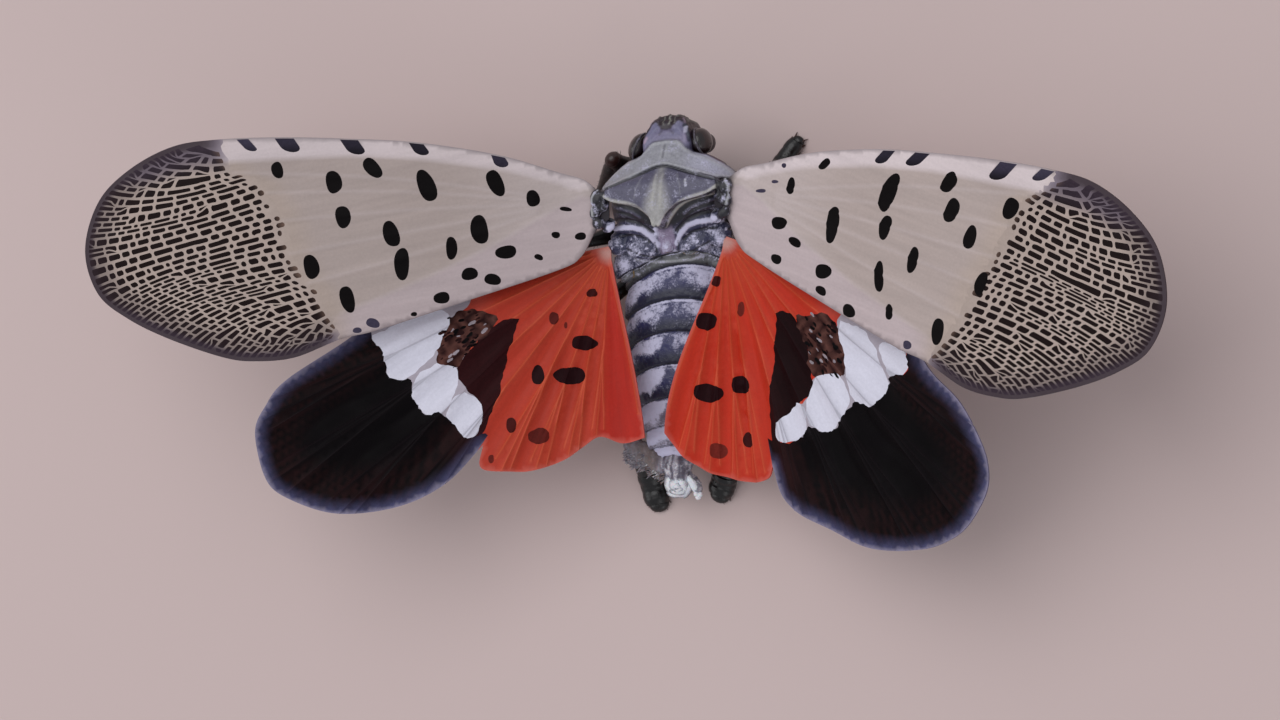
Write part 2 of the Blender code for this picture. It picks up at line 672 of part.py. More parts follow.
def ring_round(centre, normal, across, radius, sides=10):
    """A flat ring of points square to its normal."""
    up = across.cross(normal)
    turns = [2.0 * math.pi * s / sides for s in range(sides)]
    return [centre + radius * (math.cos(turn) * across + math.sin(turn) * up) for turn in turns]


def make_coxa(name, hip, joint, outward):
    """A short elbow: it hangs from the belly and turns out to face the femur."""
    across = outward.cross(Vector((0, 0, 1))).normalized()
    down = Vector((0, 0, -1))
    corner = Vector((hip.x, hip.y, joint.z))
    rings = []
    for share in (0.0, 0.33, 0.67, 1.0):
        centre = (1 - share) ** 2 * hip + 2 * share * (1 - share) * corner + share ** 2 * joint
        turn = 0.5 * math.pi * share
        normal = math.cos(turn) * down + math.sin(turn) * outward
        radius = COXA_RADII[0] + (COXA_RADII[1] - COXA_RADII[0]) * share
        rings.append([posed(*p) for p in ring_round(centre, normal, across, radius)])
    loft(name, rings, "cuticle_black")


def make_leg(pair, side):
    """Coxa, femur, tibia and foot of one leg; the tibia hangs from the side of the femur's end."""
    sign = SIDES[side]
    path = LEG_PATHS[(pair, side)]
    heights = (BELLY - GAP, HIP_JOINT_Z, path[2][2], path[3][2], SOLE_AXIS_Z)
    points = [Vector((sign * p[0], p[1], z)) for p, z in zip(path, heights)]
    ways = [(b - a).normalized() for a, b in zip(points, points[1:])]
    outward = Vector((ways[1].x, ways[1].y, 0.0)).normalized()
    knee, ankle, toe = points[2:]
    square = (ways[2] - ways[1] * ways[2].dot(ways[1])).normalized()
    hang = knee + square * (FEMUR_RADII[-1] + 0.7 * GAP)
    shin = (ankle - hang).normalized()
    ankle_normal = (shin + ways[3]).normalized()
    name = pair + "_leg_" + side

    make_coxa(name + "_coxa", points[0], points[1] - 0.5 * GAP * outward, outward)

    reach = knee + ways[1] * TIBIA_RADII[pair][0]
    femur = joint_rings(points[1], reach, FEMUR_RADII, outward, ways[1])
    loft(name + "_femur", [[posed(*p) for p in ring] for ring in femur], "cuticle_black")

    tibia = joint_rings(hang, ankle, TIBIA_RADII[pair], square, ankle_normal)
    shaft = loft(name + "_shaft", [[posed(*p) for p in ring] for ring in tibia], "cuticle_black")
    spines = []
    if pair == "hind":
        outer = Vector((sign, 0.0, 0.0))
        lean = (outer + shin + Vector((0.0, 0.0, 0.3))).normalized()
        for share in TIBIA_SPINES:
            root = hang + (ankle - hang) * share + outer * SPINE_ROOT
            spines.append(spike(root, lean, SPINE_LENGTH, SPINE_RADIUS))
    join(name + "_tibia", [shaft] + spines, "cuticle_black")

    make_foot(name, ankle, toe, ankle_normal)


def spike(root, way, length, radius):
    """A short cone for a spine or a claw, whose root is sunk in what carries it."""
    rings = tube_rings([root - way * radius, root + way * 0.4 * length, root + way * length],
                       (radius, 0.75 * radius, 0.25 * radius), 6)
    return loft("spike", [[posed(*p) for p in ring] for ring in rings], "cuticle_black")


def make_foot(name, ankle, toe, ankle_normal):
    """Three pads in a row, flat where they meet the floor, with the claws' stub ahead."""
    way = (toe - ankle).normalized()
    across = way.cross(Vector((0, 0, 1))).normalized()
    rings = []
    stout = HIND_FOOT_STOUTNESS if name.startswith("hind") else 1.0
    for place, radius in zip(TARSUS_PLACES, TARSUS_RADII):
        radius *= stout
        centre = ankle + (toe - ankle) * place
        settle = smooth_step(0.0, 0.3, place)
        centre.z = ankle.z + (SOLE_AXIS_Z - ankle.z) * settle
        ring = []
        for s in range(10):
            turn = 2.0 * math.pi * s / 10
            p = centre + radius * math.cos(turn) * across + radius * math.sin(turn) * Vector((0, 0, 1))
            if place == 0.0:
                offset = p - centre
                p = p + way * (-offset.dot(ankle_normal) + 0.5 * GAP) / way.dot(ankle_normal)
            p.z = max(0.0, p.z)
            ring.append(posed(*p))
        rings.append(ring)
    pads = loft(name + "_pads", rings, "cuticle_black")
    claws = []
    for turn in (-1.0, 1.0):
        ahead = (way + turn * CLAW_SPREAD * across - Vector((0.0, 0.0, way.z + 0.15))).normalized()
        root = Vector((toe.x, toe.y, SOLE_AXIS_Z)) - 0.12 * way + 0.08 * turn * across
        claws.append(spike(root, ahead, CLAW_LENGTH, CLAW_RADIUS))
    join(name + "_tarsus", [pads] + claws, "cuticle_black")


def main():
    for old in list(bpy.data.objects):
        bpy.data.objects.remove(old)
    make_head()
    make_eyes()
    make_antennae()
    make_beak()
    make_pronotum()
    make_thorax()
    make_abdomen()
    make_tail_tuft()
    make_wings()
    for pair in ("fore", "mid", "hind"):
        for side in SIDES:
            make_leg(pair, side)
    for piece in bpy.data.objects:
        piece.location = (STAND_ACROSS * MM, STAND_ALONG * MM, 0.0)


main()
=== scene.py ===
import math
import random

import bmesh
import bpy
import numpy as np
from mathutils import Matrix, Vector, noise
from mathutils.geometry import delaunay_2d_cdt
from mathutils.kdtree import KDTree


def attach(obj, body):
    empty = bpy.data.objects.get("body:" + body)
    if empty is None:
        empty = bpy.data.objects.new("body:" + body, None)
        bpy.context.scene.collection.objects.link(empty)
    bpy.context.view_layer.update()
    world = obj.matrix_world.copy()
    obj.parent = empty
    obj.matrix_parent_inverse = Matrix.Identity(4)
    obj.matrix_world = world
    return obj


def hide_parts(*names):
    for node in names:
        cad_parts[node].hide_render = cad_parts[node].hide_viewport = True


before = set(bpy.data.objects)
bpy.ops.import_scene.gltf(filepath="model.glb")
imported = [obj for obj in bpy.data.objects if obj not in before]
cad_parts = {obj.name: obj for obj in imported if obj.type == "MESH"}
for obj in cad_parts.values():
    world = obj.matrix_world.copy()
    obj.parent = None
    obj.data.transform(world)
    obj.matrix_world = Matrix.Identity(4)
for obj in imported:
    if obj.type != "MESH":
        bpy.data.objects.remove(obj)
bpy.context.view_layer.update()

# Places and sizes are written in millimetres and become metres where a mesh is made.
# +Y is ahead, +X is the insect's right side, +Z is up.
MM = 0.001

# Camera: it looks down on the back, leans over to the insect's right, and is turned a little,
# so that the picture shows the pose as it was seen.
LOOK_AT = (-0.351, -1.517, 5.6)
CAMERA_DISTANCE = 210.0
CAMERA_LEAN = math.radians(19.25)
CAMERA_TURN = math.radians(2.81)
LENS = 143.8
SENSOR = 36.0

camera_data = bpy.data.cameras.new("camera")
camera_data.lens = LENS
camera_data.sensor_width = SENSOR
camera_data.clip_start = 0.005
camera_data.clip_end = 5.0
camera = bpy.data.objects.new("camera", camera_data)
bpy.context.scene.collection.objects.link(camera)
backwards = Vector((math.sin(CAMERA_LEAN), 0.0, math.cos(CAMERA_LEAN)))
upwards = Vector((-math.sin(CAMERA_TURN), math.cos(CAMERA_TURN), 0.0))
upwards = (upwards - backwards * upwards.dot(backwards)).normalized()
rightwards = upwards.cross(backwards)
camera.matrix_world = (Matrix.Translation((Vector(LOOK_AT) + CAMERA_DISTANCE * backwards) * MM)
                       @ Matrix((rightwards, upwards, backwards)).transposed().to_4x4())
bpy.context.scene.camera = camera

# Floor and light: a plain pale table top under a broad soft light overhead, with a weaker one
# on each side and a pale room round it.
FLOOR_HALF = 0.6
FLOOR_COLOUR = (0.6, 0.475, 0.46)
ROOM_COLOUR = (0.93, 0.95, 1.0)
ROOM_STRENGTH = 0.5
LIGHTS = {
    "overhead": ((-60.0, 90.0, 300.0), 280.0, 0.42),
    "left_side": ((-260.0, -60.0, 160.0), 160.0, 0.12),
    "rear_side": ((180.0, -240.0, 170.0), 160.0, 0.09),
}


def add_node(tree, kind, inputs=None, **settings):
    """One shader node; an input is set to a value or linked to a socket."""
    made = tree.nodes.new(kind)
    for key, value in settings.items():
        setattr(made, key, value)
    for key, value in (inputs or {}).items():
        if isinstance(value, bpy.types.NodeSocket):
            tree.links.new(value, made.inputs[key])
        else:
            made.inputs[key].default_value = value
    return made


def new_material(name, roughness, **constants):
    """A material with its Principled shader; constants are set on the shader's own sockets."""
    material = bpy.data.materials.new(name)
    material.use_nodes = True
    shader = material.node_tree.nodes["Principled BSDF"]
    shader.inputs["Roughness"].default_value = roughness
    for key, value in constants.items():
        shader.inputs[key.replace("_", " ")].default_value = value
    return material, material.node_tree, shader


floor_mesh = bpy.data.meshes.new("floor")
floor_mesh.from_pydata([(-FLOOR_HALF, -FLOOR_HALF, 0), (FLOOR_HALF, -FLOOR_HALF, 0),
                        (FLOOR_HALF, FLOOR_HALF, 0), (-FLOOR_HALF, FLOOR_HALF, 0)], [], [(0, 1, 2, 3)])
floor = bpy.data.objects.new("floor", floor_mesh)
bpy.context.scene.collection.objects.link(floor)
floor_material, floor_tree, floor_shader = new_material("floor_matt", 0.85)
floor_shader.inputs["Base Color"].default_value = (*FLOOR_COLOUR, 1.0)
floor_mesh.materials.append(floor_material)

for label, (place, size, power) in LIGHTS.items():
    light = bpy.data.lights.new(label, "AREA")
    light.size = size * MM
    light.energy = power
    lamp = bpy.data.objects.new(label, light)
    lamp.location = Vector(place) * MM
    lamp.rotation_euler = (Vector(LOOK_AT) - Vector(place)).to_track_quat("-Z", "Y").to_euler()
    bpy.context.scene.collection.objects.link(lamp)
world = bpy.data.worlds.new("room")
world.use_nodes = True
world.node_tree.nodes["Background"].inputs["Color"].default_value = (*ROOM_COLOUR, 1.0)
world.node_tree.nodes["Background"].inputs["Strength"].default_value = ROOM_STRENGTH
bpy.context.scene.world = world
bpy.context.scene.view_settings.view_transform = "Standard"

# The trunk's own zero stands here, and its right side is a little ahead of its left.
# All places on the insect are measured from that zero: out, ahead and up.
STAND_ACROSS = 0.216
STAND_ALONG = -0.489
SKEW = 0.12
SKEW_ENDS = 0.5
SKEW_STARTS = 4.0
SIDES = {"left": -1, "right": 1}


def smooth_step(low, high, value):
    share = np.clip((np.asarray(value, float) - low) / (high - low), 0.0, 1.0)
    return share * share * (3.0 - 2.0 * share)


def linear(red, green, blue):
    """A display colour, 0 to 255, as the light that a shader works with."""
    shown = np.array((red, green, blue), float) / 255.0
    return np.where(shown > 0.04045, ((shown + 0.055) / 1.055) ** 2.4, shown / 12.92)


def mixed(first, second, share):
    share = np.clip(np.asarray(share, float), 0.0, 1.0)[..., None]
    return np.asarray(first) * (1.0 - share) + np.asarray(second) * share


def curve_through(points, spacing):
    """Evenly spread points, about spacing apart, on a smooth curve through the given ones."""
    knots = [np.array(p, float) for p in points]
    knots = [2 * knots[0] - knots[1]] + knots + [2 * knots[-1] - knots[-2]]
    dense = []
    for a, b, c, d in zip(knots, knots[1:], knots[2:], knots[3:]):
        for t in np.linspace(0.0, 1.0, 12, endpoint=False):
            dense.append(0.5 * (2 * b + (c - a) * t + (2 * a - 5 * b + 4 * c - d) * t ** 2
                                + (3 * b - a - 3 * c + d) * t ** 3))
    dense = np.array(dense + [knots[-2]])
    run = np.concatenate([[0.0], np.cumsum(np.linalg.norm(np.diff(dense, axis=0), axis=1))])
    wanted = np.linspace(0.0, run[-1], max(2, int(round(run[-1] / spacing)) + 1))
    return np.stack([np.interp(wanted, run, dense[:, k]) for k in range(dense.shape[1])], axis=1)


# Wings: each one is a thin film, flat in its own chart of out and ahead, which the hinge
# carries, lifts into a shallow V, sweeps back and twists, as on the solid it replaces.
FOREWING_HINGE = (3.0, 5.79, 5.6)
HINDWING_HINGE = (2.5, 3.79, 4.48)
HINDWING_BEND_FROM = 0.5
WING_RAISE = {"left": math.radians(20.0), "right": math.radians(23.0)}
WING_DROOP = math.radians(8.0)
RAISE_RUN = 1.5
WING_REACH = 21.15
SWEEP = {"left": math.radians(2.45), "right": math.radians(4.1)}
TWIST = {"left": 0.0, "right": math.radians(5.5)}
FILM = 0.08


def wing_places(side, hinge, bend_from, chart, lift):
    """Places in metres of chart points, each raised by its lift above the wing's middle surface."""
    steps = np.linspace(0.0, WING_REACH + 1.0, 300)
    stride = steps[1] - steps[0]
    middles = 0.5 * (steps[1:] + steps[:-1])

    def climb(out):
        return WING_RAISE[side] * np.clip(out / RAISE_RUN, 0.0, 1.0) - WING_DROOP * out / WING_REACH

    run = np.concatenate([[0.0], np.cumsum(np.cos(climb(middles)) * stride)])
    rise = np.concatenate([[0.0], np.cumsum(np.sin(climb(middles)) * stride)])
    reach = chart[:, 0] - bend_from
    out = np.clip(reach, 0.0, None)
    slope = climb(out)
    x = bend_from + np.interp(out, steps, run) + np.minimum(reach, 0.0) - lift * np.sin(slope)
    y = chart[:, 1]
    z = np.interp(out, steps, rise) + lift * np.cos(slope)
    twist, sweep = TWIST[side], SWEEP[side]
    y, z = y * math.cos(twist) - z * math.sin(twist), y * math.sin(twist) + z * math.cos(twist)
    x, y = x * math.cos(sweep) + y * math.sin(sweep), y * math.cos(sweep) - x * math.sin(sweep)
    sign = SIDES[side]
    return np.stack([sign * (hinge[0] + x) + STAND_ACROSS,
                     hinge[1] + sign * SKEW * hinge[0] + y + STAND_ALONG, hinge[2] + z], axis=1) * MM


def inside(points, outline):
    """Which points lie within a closed outline."""
    x, y = points[:, 0], points[:, 1]
    within = np.zeros(len(points), bool)
    for (ax, ay), (bx, by) in zip(outline, np.roll(outline, -1, axis=0)):
        if ay == by:
            continue
        crosses = (ay > y) != (by > y)
        within ^= crosses & (x < (bx - ax) * (y - ay) / (by - ay) + ax)
    return within


def distance_to(points, line):
    """Least distance from each point to a polyline."""
    least = np.full(len(points), 1e9)
    for a, b in zip(line, line[1:]):
        way = b - a
        share = np.clip(((points - a) @ way) / max(way @ way, 1e-12), 0.0, 1.0)
        least = np.minimum(least, np.linalg.norm(points - a - share[:, None] * way, axis=1))
    return least


def cut_film(outline, shapes, lines, spacing, seed):
    """Splits a flat outline into triangles whose edges follow every shape and line.

    Returns the points, the triangles and, for each triangle, the last shape that holds it."""
    rng = np.random.default_rng(seed)
    points, edges, faces = [], [], []
    for ring in [outline] + shapes:
        first = len(points)
        after = np.roll(ring, -1, axis=0)
        clockwise = np.sum(ring[:, 0] * after[:, 1] - ring[:, 1] * after[:, 0]) < 0
        points.extend(ring[::-1] if clockwise else ring)
        faces.append(list(range(first, first + len(ring))))
    for line in lines:
        first = len(points)
        points.extend(line)
        edges.extend((first + k, first + k + 1) for k in range(len(line) - 1))
    tree = KDTree(len(points))
    for k, p in enumerate(points):
        tree.insert((p[0], p[1], 0.0), k)
    tree.balance()
    low, high = outline.min(axis=0), outline.max(axis=0)
    rows = int((high[1] - low[1]) / (spacing * 0.866)) + 1
    columns = int((high[0] - low[0]) / spacing) + 1
    row, column = np.mgrid[0:rows, 0:columns]
    grid = np.stack([low[0] + (column + 0.5 * (row % 2)) * spacing, low[1] + row * spacing * 0.866], axis=-1)
    grid = grid.reshape(-1, 2) + rng.uniform(-0.12, 0.12, (rows * columns, 2)) * spacing
    grid = grid[inside(grid, outline)]
    points.extend(p for p in grid if tree.find((p[0], p[1], 0.0))[2] > 0.55 * spacing)
    made = delaunay_2d_cdt([Vector((float(p[0]), float(p[1]))) for p in points], edges, faces, 1, 1e-6, True)
    verts = np.array([tuple(p) for p in made[0]])
    keep = [k for k, face in enumerate(made[2]) if len(face) == 3 and 0 in made[5][k]]
    triangles = np.array([made[2][k] for k in keep])
    holders = np.array([max(made[5][k]) for k in keep])
    a, b, c = (verts[triangles[:, k]] for k in range(3))
    area = (b[:, 0] - a[:, 0]) * (c[:, 1] - a[:, 1]) - (b[:, 1] - a[:, 1]) * (c[:, 0] - a[:, 0])
    triangles[area < 0] = triangles[area < 0][:, ::-1]
    used, places = np.unique(triangles, return_inverse=True)
    return verts[used], places.reshape(-1, 3), holders


def film_object(name, side, hinge, bend_from, verts, triangles, top, bottom, kinds, paint, grain, materials):
    """A closed film: the chart's triangles above, the same ones below, and a rim between them.

    kinds gives each triangle's material, paint the colour of each triangle's corners, and
    grain a second chart in which the streaks of the film run along Y."""
    count = len(verts)
    above = wing_places(side, hinge, bend_from, verts, top)
    below = wing_places(side, hinge, bend_from, verts, bottom)
    seen = {}
    for a, b, c in triangles:
        for edge in ((a, b), (b, c), (c, a)):
            seen[edge] = True
    rim = np.array([edge for edge in seen if (edge[1], edge[0]) not in seen])
    upper = triangles
    lower = triangles[:, ::-1] + count
    sides = np.concatenate([np.stack([rim[:, 1], rim[:, 0], rim[:, 0] + count], axis=1),
                            np.stack([rim[:, 1], rim[:, 0] + count, rim[:, 1] + count], axis=1)])
    holder = {}
    for k, (a, b, c) in enumerate(triangles):
        holder[(a, b)] = holder[(b, c)] = holder[(c, a)] = k
    rim_kind = np.array([kinds[holder[tuple(edge)]] for edge in rim])
    rim_paint = np.array([paint[holder[tuple(edge)]].mean(axis=0) for edge in rim])
    faces = np.concatenate([upper, lower, sides])
    if SIDES[side] < 0:
        faces = faces[:, ::-1]
        paint = paint[:, ::-1]
    face_kinds = np.concatenate([kinds, kinds, rim_kind, rim_kind])
    face_paint = np.concatenate([paint, paint[:, ::-1], np.repeat(rim_paint[:, None], 3, axis=1),
                                 np.repeat(rim_paint[:, None], 3, axis=1)])
    mesh = bpy.data.meshes.new(name)
    mesh.from_pydata(np.concatenate([above, below]).tolist(), [], faces.tolist())
    mesh.polygons.foreach_set("material_index", face_kinds.astype(np.int32))
    colours = mesh.color_attributes.new("Paint", "FLOAT_COLOR", "CORNER")
    rgba = np.ones((len(faces) * 3, 4), np.float32)
    rgba[:, :3] = face_paint.reshape(-1, 3)
    colours.data.foreach_set("color", rgba.ravel())
    corner = np.empty(len(faces) * 3, np.int32)
    mesh.loops.foreach_get("vertex_index", corner)
    size = np.ptp(verts, axis=0).max()
    spread = (verts - verts.min(axis=0)) / size
    for label, chart in (("OFBake", spread * 0.49), ("Grain", grain)):
        layer = mesh.uv_layers.new(name=label)
        both = np.concatenate([chart, chart + (np.array((0.0, 0.5)) if label == "OFBake" else 0.0)])
        layer.data.foreach_set("uv", both[corner].astype(np.float32).ravel())
    for material in materials:
        mesh.materials.append(material)
    mesh.shade_smooth()
    mesh.set_sharp_from_angle(angle=math.radians(60.0))
    piece = bpy.data.objects.new(name, mesh)
    bpy.context.scene.collection.objects.link(piece)
    return piece


def ragged(ring, rng, spacing, size):
    """A closed ring with points about spacing apart, each pushed in or out by up to size."""
    closed = np.concatenate([ring, ring[:1]])
    steps = np.linalg.norm(np.diff(closed, axis=0), axis=1)
    run = np.concatenate([[0.0], np.cumsum(steps)])
    count = max(8, int(run[-1] / spacing))
    wanted = np.linspace(0.0, run[-1], count, endpoint=False)
    line = np.stack([np.interp(wanted, run, closed[:, k]) for k in (0, 1)], axis=1)
    way = np.roll(line, -1, axis=0) - np.roll(line, 1, axis=0)
    across = np.stack([way[:, 1], -way[:, 0]], axis=1) / np.maximum(np.linalg.norm(way, axis=1), 1e-9)[:, None]
    push = rng.uniform(-1.0, 1.0, count)
    push = 0.5 * push + 0.25 * (np.roll(push, 1) + np.roll(push, -1))
    return line + across * (push * size)[:, None]


def kept_in(points, outline, least):
    """Points of a shape, moved where they must be so that they stay least inside the outline."""
    tree = KDTree(len(outline))
    for k, p in enumerate(outline):
        tree.insert((p[0], p[1], 0.0), k)
    tree.balance()
    way = np.roll(outline, -1, axis=0) - np.roll(outline, 1, axis=0)
    inward = np.stack([-way[:, 1], way[:, 0]], axis=1) / np.linalg.norm(way, axis=1)[:, None]
    area = np.sum(outline[:, 0] * np.roll(outline[:, 1], -1) - outline[:, 1] * np.roll(outline[:, 0], -1))
    if area < 0:
        inward = -inward
    kept = []
    for p in points:
        place, k, _ = tree.find((p[0], p[1], 0.0))
        depth = (np.asarray(p) - outline[k]) @ inward[k]
        kept.append(np.asarray(p) + inward[k] * max(0.0, least - depth))
    return np.array(kept)


def parallel_lines(line, half_width):
    """A crest with a foot on each side, for a raised vein."""
    way = np.gradient(line, axis=0)
    across = np.stack([way[:, 1], -way[:, 0]], axis=1) / np.linalg.norm(way, axis=1)[:, None]
    return [line, line + across * half_width, line - across * half_width]


# Shader groups shared by the films and the shell: fine grain, and streaks that run along a film.
def shader_group(name, inputs, outputs):
    """An empty group with float or vector inputs and float outputs."""
    tree = bpy.data.node_groups.new(name, "ShaderNodeTree")
    for label, start in inputs.items():
        kind = "NodeSocketVector" if start is None else "NodeSocketFloat"
        socket = tree.interface.new_socket(label, in_out="INPUT", socket_type=kind)
        if start is not None:
            socket.default_value = start
    for label in outputs:
        tree.interface.new_socket(label, in_out="OUTPUT", socket_type="NodeSocketFloat")
    return tree, tree.nodes.new("NodeGroupInput"), tree.nodes.new("NodeGroupOutput")


film_grain, grain_in, grain_out = shader_group(
    "film_grain", {"Grain place": None, "Body place": None, "Streaks per mm": 6.0, "Specks per mm": 9.0},
    ["Streak", "Speck", "Cloud"])
stretch = add_node(film_grain, "ShaderNodeVectorMath", {0: grain_in.outputs["Grain place"], 1: (1.0, 0.07, 1.0)},
                   operation="MULTIPLY")
streak = add_node(film_grain, "ShaderNodeTexNoise",
                  {"Vector": stretch.outputs[0], "Scale": grain_in.outputs["Streaks per mm"], "Detail": 3.0,
                   "Roughness": 0.6})
to_mm = add_node(film_grain, "ShaderNodeVectorMath", {0: grain_in.outputs["Body place"], "Scale": 1000.0},
                 operation="SCALE")
speck = add_node(film_grain, "ShaderNodeTexNoise",
                 {"Vector": to_mm.outputs[0], "Scale": grain_in.outputs["Specks per mm"], "Detail": 4.0,
                  "Roughness": 0.7})
cloud = add_node(film_grain, "ShaderNodeTexNoise", {"Vector": to_mm.outputs[0], "Scale": 0.55, "Detail": 3.0})
for label, made in (("Streak", streak), ("Speck", speck), ("Cloud", cloud)):
    film_grain.links.new(made.outputs["Fac"], grain_out.inputs[label])


def film_material(name, roughness, streak_depth, speck_depth, bump, streaks_per_mm=6.0, **constants):
    """Painted film: its colour is broken up by streaks along it and fine specks, which also dent it."""
    material, tree, shader = new_material(name, roughness, **constants)
    paint = add_node(tree, "ShaderNodeVertexColor", layer_name="Paint")
    chart = add_node(tree, "ShaderNodeUVMap", uv_map="Grain")
    body = add_node(tree, "ShaderNodeTexCoord")
    grain = add_node(tree, "ShaderNodeGroup", node_tree=film_grain)
    tree.links.new(chart.outputs["UV"], grain.inputs["Grain place"])
    tree.links.new(body.outputs["Object"], grain.inputs["Body place"])
    grain.inputs["Streaks per mm"].default_value = streaks_per_mm
    shade_streak = add_node(tree, "ShaderNodeMapRange",
                            {"Value": grain.outputs["Streak"], "From Min": 0.3, "From Max": 0.7,
                             "To Min": 1.0 - streak_depth, "To Max": 1.0 + streak_depth})
    shade_speck = add_node(tree, "ShaderNodeMapRange",
                           {"Value": grain.outputs["Speck"], "From Min": 0.3, "From Max": 0.7,
                            "To Min": 1.0 - speck_depth, "To Max": 1.0 + speck_depth})
    shade = add_node(tree, "ShaderNodeMath", {0: shade_streak.outputs[0], 1: shade_speck.outputs[0]},
                     operation="MULTIPLY")
    colour = add_node(tree, "ShaderNodeVectorMath", {0: paint.outputs["Color"], "Scale": shade.outputs[0]},
                      operation="SCALE")
    tree.links.new(colour.outputs[0], shader.inputs["Base Color"])
    height = add_node(tree, "ShaderNodeMath", {0: grain.outputs["Streak"], 1: grain.outputs["Speck"]},
                      operation="ADD")
    dent = add_node(tree, "ShaderNodeBump", {"Height": height.outputs[0], "Distance": bump * MM, "Strength": 1.0})
    tree.links.new(dent.outputs["Normal"], shader.inputs["Normal"])
    rough = add_node(tree, "ShaderNodeMapRange",
                     {"Value": grain.outputs["Cloud"], "From Min": 0.35, "From Max": 0.65,
                      "To Min": roughness - 0.06, "To Max": roughness + 0.08})
    tree.links.new(rough.outputs[0], shader.inputs["Roughness"])
    return material


# Forewings: leathery front wings, pinkish grey with black spots, bars on a paler front border,
# and beyond them a net of cream veins with dark sunk cells that runs into a dark outer margin.
COSTAL_EDGE = [(0.0, 0.58), (0.45, 0.91), (1.4, 1.19), (3.9, 1.9), (7.25, 2.4),
               (10.2, 2.55), (13.0, 2.6), (15.6, 2.5), (17.5, 2.2)]
OUTER_EDGE = [(17.5, 2.2), (19.3, 1.25), (20.6, -0.1), (21.15, -2.1),
              (20.6, -3.9), (19.3, -4.95), (17.5, -5.8), (15.2, -6.55)]
TRAILING_EDGE = [(0.0, -1.4), (0.5, -2.3), (1.4, -2.85), (4.9, -4.05), (8.8, -5.35),
                 (10.4, -5.75), (12.25, -6.5), (13.8, -6.68), (15.2, -6.55)]
ROOT_INWARD = 0.7
NET_EDGE = {
    "left": [(15.45, 2.0), (14.85, 1.15), (13.8, 0.75), (13.3, 0.0), (12.75, -0.85), (12.4, -2.3),
             (11.95, -3.2), (11.35, -3.75), (10.9, -4.65), (10.55, -5.35)],
    "right": [(15.75, 2.0), (14.25, 1.0), (13.7, -0.25), (13.15, -1.45), (12.5, -2.3), (12.0, -3.65),
              (11.1, -4.95), (10.6, -5.55)],
}
COSTAL_VEIN = [(0.9, 0.5), (1.35, 0.7), (3.6, 1.25), (7.1, 1.7), (10.0, 1.82), (13.0, 1.68), (15.1, 1.55)]
CLAVAL_FOLD = [(0.5, 0.2), (1.6, -0.35), (3.75, -1.65), (6.75, -3.15), (10.4, -4.7)]
# Spots: out, ahead, length, width, lean of the long way in degrees towards the tip
SPOTS = {
    "left": [
        (13.05, 1.23, 0.74, 0.46, 18), (10.7, 0.74, 0.98, 0.64, 15), (10.3, -0.7, 0.94, 0.62, 15),
        (11.6, -2.77, 0.98, 0.66, 18), (10.1, -4.1, 1.14, 0.58, 12), (9.1, 1.33, 0.95, 0.6, 42),
        (6.85, 0.6, 1.4, 0.7, 20), (4.0, 0.73, 1.22, 0.6, 25), (2.45, 0.1, 0.66, 0.58, 10),
        (8.3, -1.4, 1.12, 0.64, 15), (7.85, -2.63, 1.3, 0.64, 3), (5.8, -1.97, 0.92, 0.48, 5),
        (4.65, -1.2, 1.14, 0.76, 10), (3.55, -2.12, 0.56, 0.84, 8), (5.05, -3.03, 0.5, 0.7, 5),
        (4.1, -3.25, 0.48, 0.66, -10), (6.2, -4.02, 0.5, 0.64, 5), (7.35, -4.7, 0.18, 0.26, 0),
        (9.05, -5.08, 0.36, 0.6, -15), (9.7, -5.38, 0.24, 0.36, 0), (1.1, -0.33, 0.18, 0.5, -5),
        (1.5, -1.4, 0.28, 0.34, 0), (0.5, -1.45, 0.32, 0.44, 0), (2.2, -2.32, 0.24, 0.36, -20),
    ],
    "right": [
        (2.95, 0.43, 0.66, 0.44, 0), (2.55, -1.13, 0.5, 0.86, -4), (3.45, -1.8, 0.38, 0.68, 8),
        (2.45, -2.62, 0.42, 0.56, 5), (5.0, -2.8, 0.58, 0.88, -5), (4.9, -3.6, 0.38, 0.56, 8),
        (6.4, -4.23, 0.54, 0.66, -5), (5.35, -0.85, 1.44, 0.66, 5), (8.0, 0.75, 1.6, 0.76, 22),
        (8.0, -0.65, 0.98, 0.58, 18), (7.9, -2.65, 1.2, 0.5, -1), (9.5, -1.78, 1.06, 0.5, 8),
        (8.5, -4.0, 0.66, 0.36, 5), (10.85, 1.48, 0.96, 0.6, 32), (11.15, 0.4, 1.06, 0.62, 20),
        (12.15, -0.55, 0.98, 0.56, 20), (10.95, -4.45, 1.06, 0.6, 6), (13.9, 0.8, 0.92, 0.66, 20),
        (12.85, -2.3, 0.96, 0.52, 22), (9.45, -5.2, 0.34, 0.44, 0), (1.4, 0.05, 0.16, 0.5, -8),
        (4.55, 1.5, 0.62, 0.36, 48), (2.4, 1.2, 0.2, 0.24, 0), (2.05, 0.5, 0.14, 0.36, -8),
    ],
}
